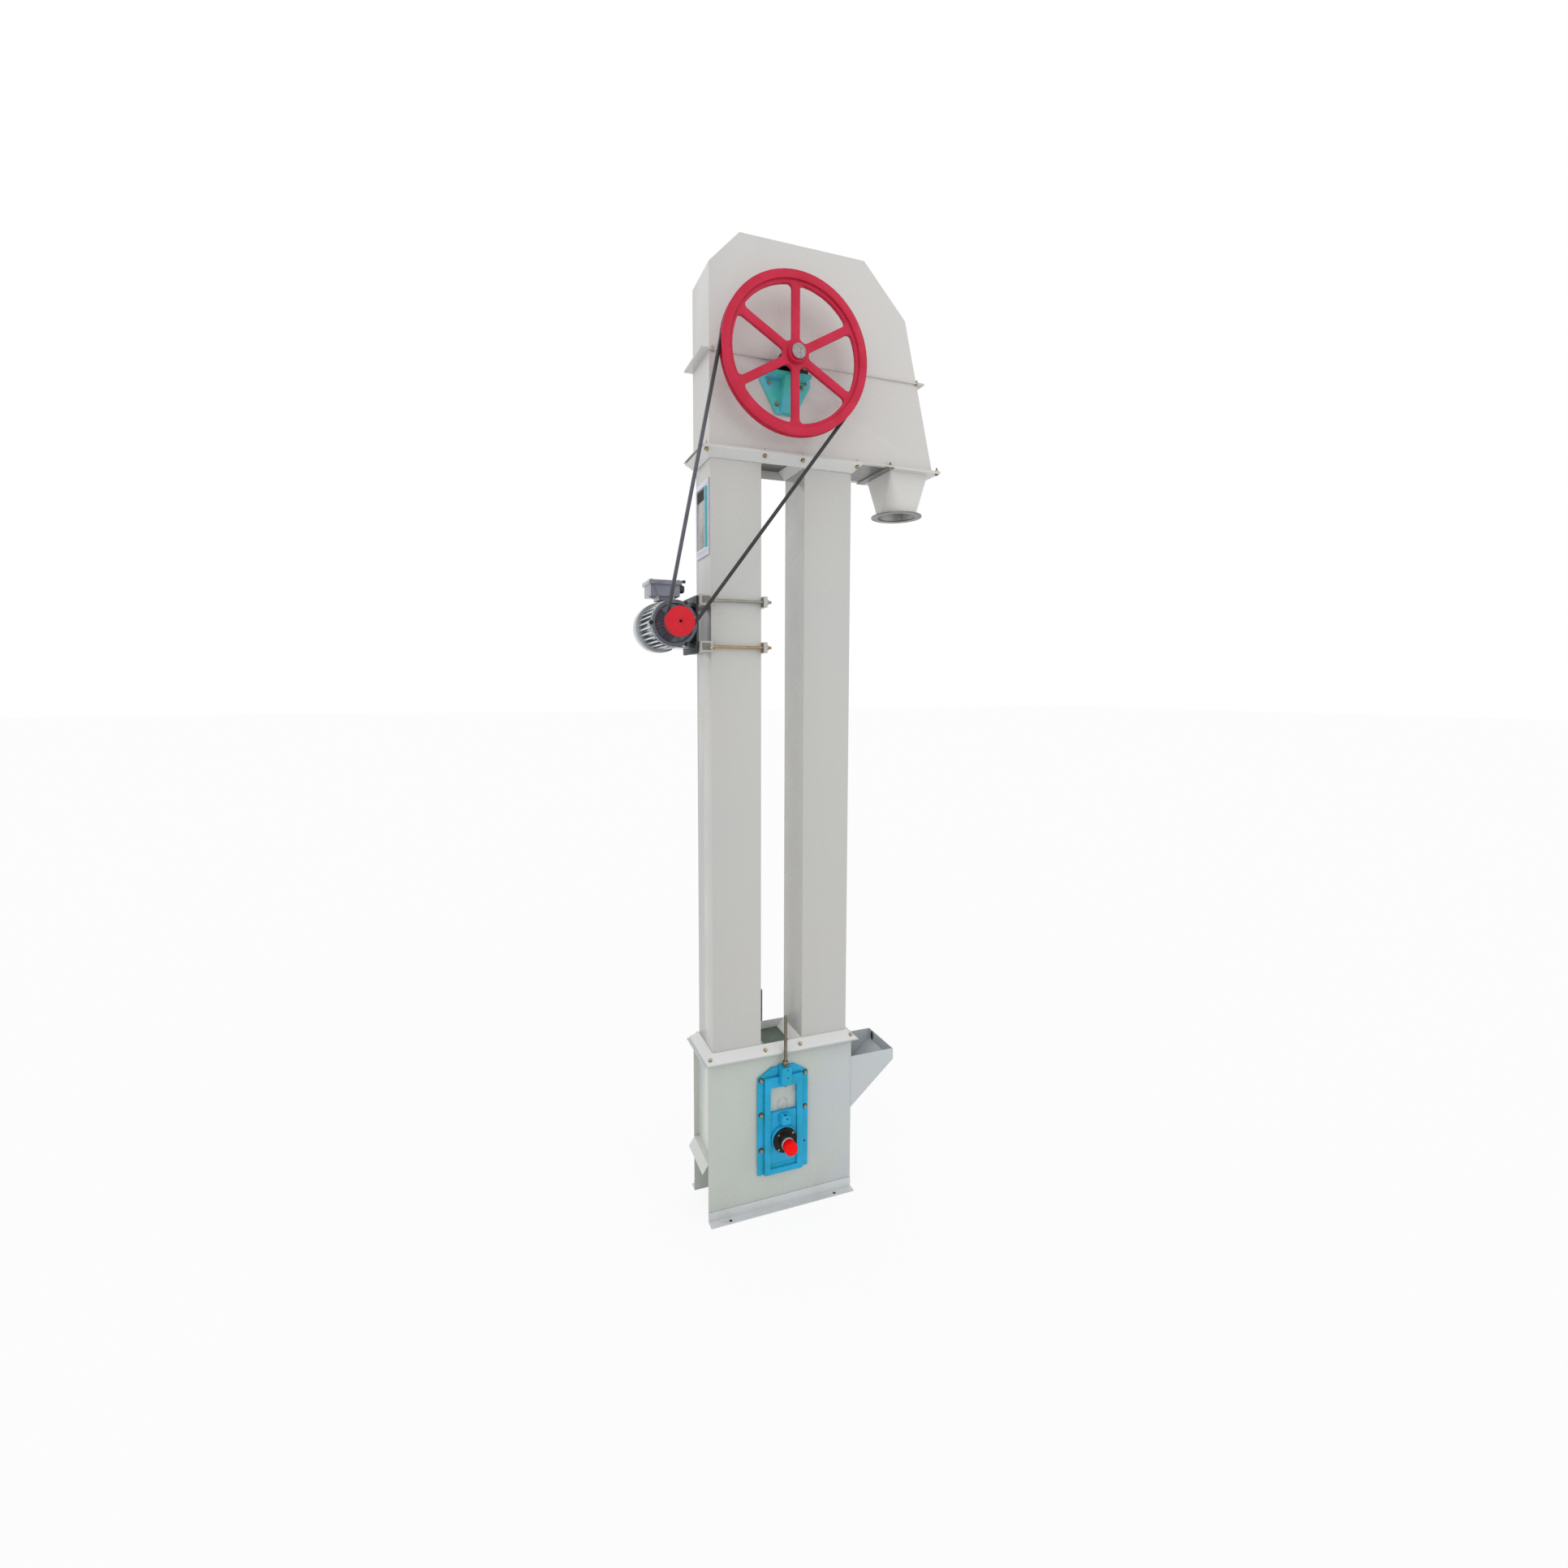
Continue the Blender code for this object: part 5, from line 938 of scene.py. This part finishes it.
for label, rod_colour, nut_finish in (
    ("upper", (0.33, 0.32, 0.27), bright_zinc),
    ("lower", (0.42, 0.29, 0.17), zinc),
):
    clamp = label + "_motor_clamp"
    paint = enamel(clamp + "_enamel", (0.45, 0.44, 0.42), (0.50, 0.49, 0.47), 0.34)
    clamp_low, clamp_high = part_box(clamp)
    clamp_z = (clamp_low.z + clamp_high.z) / 2

    def bar_ends(tree, x, y, z):
        inner = within(tree, x, clamp_low.x + 0.007, leg_low.x - 0.008)
        height = within(tree, z, clamp_z - BAR_HALF, clamp_z + BAR_HALF)
        inner = calculate(tree, "MULTIPLY", inner, height)
        return calculate(tree, "MULTIPLY", inner, calculate(tree, "LESS_THAN", y, 0.0008))

    recolour(paint, tie_rods, rod_colour, 0.34, 0.85)
    dress(clamp, recolour(paint, bar_ends, (0.20, 0.19, 0.17), 0.5), 0.0006)
    nuts = bmesh.new()
    for side in (-1, 1):
        y = middle_y + side * TIE_ROD_OUT
        for x in (leg_high.x + FAR_BAR, leg_low.x - CLAMP_GAP):
            add_bolt(nuts, seat((x, y, clamp_z), (1, 0, 0)), ROD_NUT)
        spot = (leg_low.x - 0.0080, middle_y + side * BAR_END_OUT, clamp_z - 0.004)
        add_bolt(nuts, seat(spot, (0, side, 0)), BAR_BOLT)
    finish_piece(nuts, label + "_clamp_nuts", nut_finish, "casing", 25)


# Sight window: a moulded plastic frame round a clear pane in the left leg's outer side.
# Its long sides are tinted teal, and a ribbed black block is set into the top of the pane.
window_low, window_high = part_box("window_frame")
window_z = (window_low.z + window_high.z) / 2
moulding = enamel("window_moulding", (0.62, 0.64, 0.74), (0.70, 0.71, 0.80), 0.18)


def long_sides(tree, x, y, z):
    from_middle = calculate(tree, "SUBTRACT", y, middle_y)
    strip = within(tree, calculate(tree, "ABSOLUTE", from_middle, 0.0), 0.0500, 0.0640)
    return calculate(tree, "MULTIPLY", strip, within(tree, z, window_z - 0.1, window_z + 0.1))


dress("window_frame", recolour(moulding, long_sides, (0.075, 0.42, 0.46), 0.25), 0.0015, 3)
pane, tree, shader, where = new_finish("window_pane", 0.05)
shader.inputs["IOR"].default_value = 1.45
film = noise(tree, where, 18.0, 4.0)
tree.links.new(remap(tree, film, 0.45, 0.75, 0.05, 0.30), shader.inputs["Roughness"])
tree.links.new(remap(tree, film, 0.35, 0.65, 0.62, 0.42), shader.inputs["Transmission Weight"])
shader.inputs["Base Color"].default_value = (0.62, 0.585, 0.56, 1)
dress("window_glass", pane, 0.0005)
glass_low, glass_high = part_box("window_glass")
BLOCK_HEIGHT = 0.036
BLOCK_WIDTH = 0.088
RIB_COUNT = 7
RIB_SPREAD = 0.080
RIB_RADIUS = 0.0018
RIB_END_GAP = 0.001
block_x = glass_low.x + 0.0010
block_z = glass_high.z - 0.004 - BLOCK_HEIGHT / 2
ribs = bmesh.new()
block_place = Matrix.Translation((block_x, middle_y, block_z))
block_size = Matrix.Diagonal((0.003, BLOCK_WIDTH, BLOCK_HEIGHT, 1))
bmesh.ops.create_cube(ribs, size=1, matrix=block_place @ block_size)
rib_half = BLOCK_HEIGHT / 2 - RIB_END_GAP
for i in range(RIB_COUNT):
    y = middle_y + RIB_SPREAD * ((i + 0.5) / RIB_COUNT - 0.5)
    rib = seat((block_x - 0.0008, y, block_z), (0, 0, 1))
    add_disc(ribs, rib, RIB_RADIUS, RIB_RADIUS, -rib_half, rib_half, 12)
finish_piece(ribs, "window_ribbed_block", black_rubber, "casing", 40)


# Take-up: a cast frame in blue enamel on each side of the boot, with a plate that slides in it.
# A long threaded rod stands in it over the plate, with a lock nut, to push the plate down.
# The plate carries a black bearing, and the shaft's end wears a red cap over a bright collar.
FRAME_BLUE = (0.014, 0.350, 0.520)
PLATE_BLUE = (0.014, 0.370, 0.600)
CLEAR_BLUE = (0.018, 0.400, 0.690)
BLUE_CAST = (0.32, 0.22, 0.35, 0.25)
SEAL_GREY = (0.54, 0.57, 0.54)
TAKEUP_BOLT_X = 0.086
TAKEUP_BOLTS_Z = (0.230, 0.363, 0.493)
TAKEUP_BOLT = 0.0066
FLANGE_FACE = 0.0088
SPOT_FACE = 0.0008
SPOT_RADIUS = 0.0105
EMPTY_HOLE = 0.0045
WINDOW_HALF = 0.0519
WINDOW_BOTTOM = 0.1551
NECK_HOLE_X = 0.004
NECK_HOLES_Z = (0.503, 0.532)
NECK_HOLE = 0.0028
EAR_HOLE_Z = 0.347
EAR_HOLE = 0.0032
SEAL_THICKNESS = 0.0040
BEARING_BOLT_X = 0.0275
BEARING_BOLT_Z = 0.027
BEARING_BOLT = 0.0034
SCREW_PITCH = 0.0020
SCREW_RADIUS = 0.0060
THREAD_DEPTH = 0.0008
NUT_RISE = 0.0160
NUT_RADIUS = 0.0110
blue_paint = casting_paint("blue_casting_paint", FRAME_BLUE, CLEAR_BLUE, *BLUE_CAST)
takeup_bolts = bmesh.new()
# Dark green discs under the bolts and in the empty and neck holes are painted shade of those
# recesses.
takeup_shade_discs = bmesh.new()
ear_screws = bmesh.new()
bearing_screws = bmesh.new()
ledges = bmesh.new()
for side, label in ((-1, "front"), (1, "back")):
    face = (0, side, 0)
    dress(label + "_takeup_frame", blue_paint, 0.0022, 3)
    frame_low, frame_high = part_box(label + "_takeup_frame")
    wall_y, outer_y = (frame_high.y, frame_low.y) if side < 0 else (frame_low.y, frame_high.y)
    for x in (-TAKEUP_BOLT_X, TAKEUP_BOLT_X):
        for z in TAKEUP_BOLTS_Z:
            spot = seat((x, wall_y + side * FLANGE_FACE, z), face)
            if x > 0 and z == TAKEUP_BOLTS_Z[0]:
                add_disc(takeup_shade_discs, spot, EMPTY_HOLE, EMPTY_HOLE, -0.002, 0.0004, 16)
                continue
            add_disc(takeup_shade_discs, spot, SPOT_RADIUS, 0.0100, -0.002, SPOT_FACE, 24)
            spot = spot @ Matrix.Translation((0, 0, SPOT_FACE))
            add_bolt(takeup_bolts, spot, TAKEUP_BOLT, 0.003)
    for z in NECK_HOLES_Z:
        spot = seat((NECK_HOLE_X, outer_y - side * 0.0015, z), face)
        add_disc(takeup_shade_discs, spot, NECK_HOLE, NECK_HOLE, -0.002, 0.0018, 14)

    # The plate, grey where it seals against the boot, and the cast ledge under it
    slider_low, slider_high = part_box(label + "_takeup_slider")
    ledge_top = slider_low.z + 0.0075
    ledge_place = (0, wall_y + side * 0.0052, (WINDOW_BOTTOM + ledge_top) / 2)
    ledge_size = Matrix.Diagonal((2 * WINDOW_HALF, 0.0100, ledge_top - WINDOW_BOTTOM, 1))
    ledge_shape = Matrix.Translation(ledge_place) @ ledge_size
    ledge = bmesh.ops.create_cube(ledges, size=1, matrix=ledge_shape)["verts"]
    ledge_rim = [vertex for vertex in ledge if vertex.co.z > ledge_top - 0.001]
    bmesh.ops.bevel(
        ledges,
        geom=[edge for edge in ledges.edges if all(end in ledge_rim for end in edge.verts)],
        offset=0.0018,
        offset_type="OFFSET",
        segments=3,
        profile=0.5,
        affect="EDGES",
        material=-1,
    )
    slider_paint = casting_paint(label + "_slider_paint", PLATE_BLUE, CLEAR_BLUE, *BLUE_CAST)

    def seal_plate(tree, x, y, z):
        if side < 0:
            return calculate(tree, "GREATER_THAN", y, slider_high.y - SEAL_THICKNESS)
        return calculate(tree, "LESS_THAN", y, slider_low.y + SEAL_THICKNESS)

    slider_finish = recolour(slider_paint, seal_plate, SEAL_GREY, 0.32)
    dress(label + "_takeup_slider", slider_finish, 0.0015)
    ear_y = slider_low.y if side < 0 else slider_high.y
    ear_hole = seat((NECK_HOLE_X, ear_y, EAR_HOLE_Z), face)
    add_disc(ear_screws, ear_hole, EAR_HOLE, EAR_HOLE, -0.002, 0.0003, 16)

    # The bearing on the plate, held by four screws
    bearing_low, bearing_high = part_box(label + "_tail_bearing")
    bearing_y = bearing_low.y if side < 0 else bearing_high.y
    tail_z = (bearing_low.z + bearing_high.z) / 2
    dress(label + "_tail_bearing", black_paint, 0.001)
    for x in (-BEARING_BOLT_X, BEARING_BOLT_X):
        for z in (tail_z - BEARING_BOLT_Z, tail_z + BEARING_BOLT_Z):
            add_bolt(bearing_screws, seat((x, bearing_y, z), face), BEARING_BOLT)

    # The threaded rod with its lock nut
    rod_low, rod_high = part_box(label + "_takeup_screw")
    rod_y = (rod_low.y + rod_high.y) / 2
    rod_length = rod_high.z - rod_low.z
    root = SCREW_RADIUS - THREAD_DEPTH
    profile = [(0, 0), (root, 0)]
    for i in range(round(rod_length / SCREW_PITCH) - 1):
        profile.append((SCREW_RADIUS, (i + 0.5) * SCREW_PITCH))
        profile.append((root, (i + 1) * SCREW_PITCH))
    profile += [(root - 0.001, rod_length), (0, rod_length)]
    screw = bmesh.new()
    add_turned(screw, seat((0, rod_y, rod_low.z), (0, 0, 1)), profile, 16)
    nut = seat((0, rod_y, frame_high.z + NUT_RISE), (0, 0, 1))
    add_disc(screw, nut, 0.0118, 0.0118, -0.0068, -0.0054, 24)
    add_disc(screw, nut, 0.0100, NUT_RADIUS, -0.0056, -0.0038, 6)
    add_disc(screw, nut, NUT_RADIUS, NUT_RADIUS, -0.0038, 0.0038, 6)
    add_disc(screw, nut, NUT_RADIUS, 0.0098, 0.0038, 0.0054, 6)
    screw_steel = plated(label + "_screw_steel", (0.17, 0.15, 0.11), (0.27, 0.25, 0.19), 0.38)
    name = label + "_threaded_screw"
    screw_piece = finish_piece(screw, name, screw_steel, "casing", 25)
    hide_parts(label + "_takeup_screw")

finish_piece(takeup_bolts, "takeup_frame_bolts", zinc, "casing", 25)
finish_piece(ledges, "takeup_frame_ledges", blue_paint, "casing")
# Their dark green is painted shade.
hole_shade_paint = belt_rubber("hole_shade_paint", (0.010, 0.030, 0.028), (0.02, 0.05, 0.045))
finish_piece(takeup_shade_discs, "takeup_frame_hole_shade", hole_shade_paint, "casing", 40)
finish_piece(ear_screws, "slider_grub_screws", black_steel, "takeup", 40)
finish_piece(bearing_screws, "tail_bearing_screws", bright_zinc, "takeup", 25)

# The tail shaft with its drum, turned in one, and the cap and collar on each end
CAP_RADIUS = 0.0240
CAP_WALL = 0.0009
CAP_LENGTH = 0.030
TAIL_RADIUS = 0.015
TAIL_END_RADIUS = 0.023
TAIL_STEP = 0.1286
COLLAR_BORE = 0.0225
COLLAR_RADIUS = 0.0242
tail_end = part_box("tail_shaft")[1].y - middle_y - CAP_WALL
half_outline = [
    (0, tail_end),
    (TAIL_END_RADIUS - CHAMFER, tail_end),
    (TAIL_END_RADIUS, tail_end - CHAMFER),
    (TAIL_END_RADIUS, TAIL_STEP),
    (TAIL_RADIUS, TAIL_STEP),
    (TAIL_RADIUS, DRUM_HALF),
    (drum_radius - CHAMFER, DRUM_HALF),
    (drum_radius, DRUM_HALF - CHAMFER),
]
other_half = [(radius, -height) for radius, height in reversed(half_outline)]
tail_shaft = bmesh.new()
add_turned(tail_shaft, seat((0, middle_y, tail_z), (0, -1, 0)), half_outline + other_half, 48)
tail_steel = turned_steel("tail_shaft_steel", (0, tail_z))
tail_piece = finish_piece(tail_shaft, "turned_tail_shaft", tail_steel, "tail_drum", 30)
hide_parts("tail_shaft")
cap_red, tree, shader, where = new_finish("red_cap_plastic", 0.30)
fade = remap(tree, noise(tree, where, 80.0, 3.0), 0.3, 0.7)
fade = blend_colours(tree, fade, (0.94, 0.0, 0.0), (1.0, 0.002, 0.002))
tree.links.new(fade, shader.inputs["Base Color"])
shader.inputs["Specular IOR Level"].default_value = 0.15
raise_surface(tree, shader, noise(tree, where, 700.0, 2.0), 0.1, 0.0002)
caps = bmesh.new()
collars = bmesh.new()
for side in (-1, 1):
    shaft_end = seat((0, middle_y + side * tail_end, tail_z), (0, side, 0))
    add_turned(
        caps,
        shaft_end,
        [
            (0, CAP_WALL),
            (CAP_RADIUS - 0.0030, CAP_WALL),
            (CAP_RADIUS - 0.0009, CAP_WALL - 0.0009),
            (CAP_RADIUS, CAP_WALL - 0.0030),
            (CAP_RADIUS, 0.0006 - CAP_LENGTH),
            (CAP_RADIUS - 0.0006, -CAP_LENGTH),
            (0, -CAP_LENGTH),
        ],
        40,
    )
    add_turned(
        collars,
        shaft_end,
        [
            (COLLAR_BORE, -0.0305),
            (0.0238, -0.0305),
            (COLLAR_RADIUS, -0.0315),
            (COLLAR_RADIUS, -0.0370),
            (0.0236, -0.0380),
            (COLLAR_BORE, -0.0380),
        ],
        40,
    )
finish_piece(caps, "tail_shaft_caps", cap_red, "tail_drum", 50)
collar_grey = casting_paint("collar_grey", (0.42, 0.41, 0.40), (0.50, 0.49, 0.47), 0.35, 0.05)
finish_piece(collars, "tail_shaft_collars", collar_grey, "tail_drum", 40)


# Bucket belt: a rubberised canvas belt with pressed steel buckets bolted to it, one loop inside.
# It shows only through the window, the hopper and the spout.
canvas = belt_rubber("bucket_belt_canvas", (0.30, 0.29, 0.27), (0.45, 0.42, 0.36))
dress("bucket_belt", canvas, 0.0005)


# Floor and light: a plain pale floor, soft, even studio light from all round, and two soft suns.
# The camera looks with a wide lens from the left of the machine, 1.9 m up.
FLOOR_HALF = 60
floor_bm = bmesh.new()
bmesh.ops.create_grid(floor_bm, x_segments=1, y_segments=1, size=FLOOR_HALF)
floor_mesh = bpy.data.meshes.new("studio_floor")
floor_bm.to_mesh(floor_mesh)
floor_bm.free()
floor = bpy.data.objects.new("studio_floor", floor_mesh)
bpy.context.scene.collection.objects.link(floor)
floor_finish, tree, shader, where = new_finish("floor_finish", 0.9)
shader.inputs["Base Color"].default_value = (0.84, 0.84, 0.84, 1)
shader.inputs["Specular IOR Level"].default_value = 0.0


def seen_directly(tree):
    """1 for rays from the camera, and for what metal and glass show."""
    path = add_node(tree, "LightPath").outputs
    seen = calculate(tree, "MAXIMUM", path["Is Camera Ray"], path["Is Glossy Ray"])
    return calculate(tree, "MAXIMUM", seen, path["Is Transmission Ray"])


WHITE_SHARE = 0.88
glow = add_node(tree, "Emission", {"Color": (1, 1, 1, 1), "Strength": 1.0}).outputs[0]
share = calculate(tree, "MULTIPLY", seen_directly(tree), WHITE_SHARE)
lit = add_node(tree, "MixShader", {0: share, 1: shader.outputs[0], 2: glow}).outputs[0]
tree.links.new(lit, tree.nodes["Material Output"].inputs["Surface"])
floor_mesh.materials.append(floor_finish)

world = bpy.data.worlds.new("studio")
bpy.context.scene.world = world
world.use_nodes = True
tree = world.node_tree
background = tree.nodes["Background"]
background.inputs["Color"].default_value = (0.985, 0.99, 1, 1)
background.inputs["Strength"].default_value = 0.86
white = add_node(tree, "Background", {"Color": (1, 1, 1, 1), "Strength": 1.0}).outputs[0]
mixed = add_node(tree, "MixShader", {0: seen_directly(tree), 1: background.outputs[0], 2: white})
tree.links.new(mixed.outputs[0], tree.nodes["World Output"].inputs["Surface"])


def add_lamp(name, direction, spread, strength):
    """A soft sun that shines along a direction, over the whole floor alike."""
    lamp = bpy.data.lights.new(name, "SUN")
    lamp.angle = math.radians(spread)
    lamp.energy = strength
    stand = bpy.data.objects.new(name, lamp)
    stand.location = -2 * Vector(direction)
    stand.rotation_euler = Vector(direction).to_track_quat("-Z", "Y").to_euler()
    bpy.context.scene.collection.objects.link(stand)


add_lamp("key_light", (0.62, 0.60, -0.75), 60, 0.40)
add_lamp("fill_light", (-0.55, 0.70, -0.45), 70, 0.20)

PHOTO_SIZE = 1932
FOCAL_PIXELS = 899.37
CENTRE_PIXEL = (929.10, 919.40)
CAMERA_PLACE = (-0.9923, -2.4428, 1.8915)
LOOK_DOWN = 4.507
LOOK_RIGHT = 20.594
camera_data = bpy.data.cameras.new("camera")
camera_data.sensor_width = 36.0
camera_data.lens = FOCAL_PIXELS / PHOTO_SIZE * camera_data.sensor_width
camera_data.shift_x = 0.5 - CENTRE_PIXEL[0] / PHOTO_SIZE
camera_data.shift_y = CENTRE_PIXEL[1] / PHOTO_SIZE - 0.5
camera = bpy.data.objects.new("camera", camera_data)
camera.location = Vector(CAMERA_PLACE) + Vector((0, middle_y, 0))
camera.rotation_euler = (math.radians(90 - LOOK_DOWN), 0, math.radians(-LOOK_RIGHT))
bpy.context.scene.collection.objects.link(camera)
bpy.context.scene.camera = camera
bpy.context.scene.view_settings.view_transform = "Standard"

bpy.context.view_layer.update()
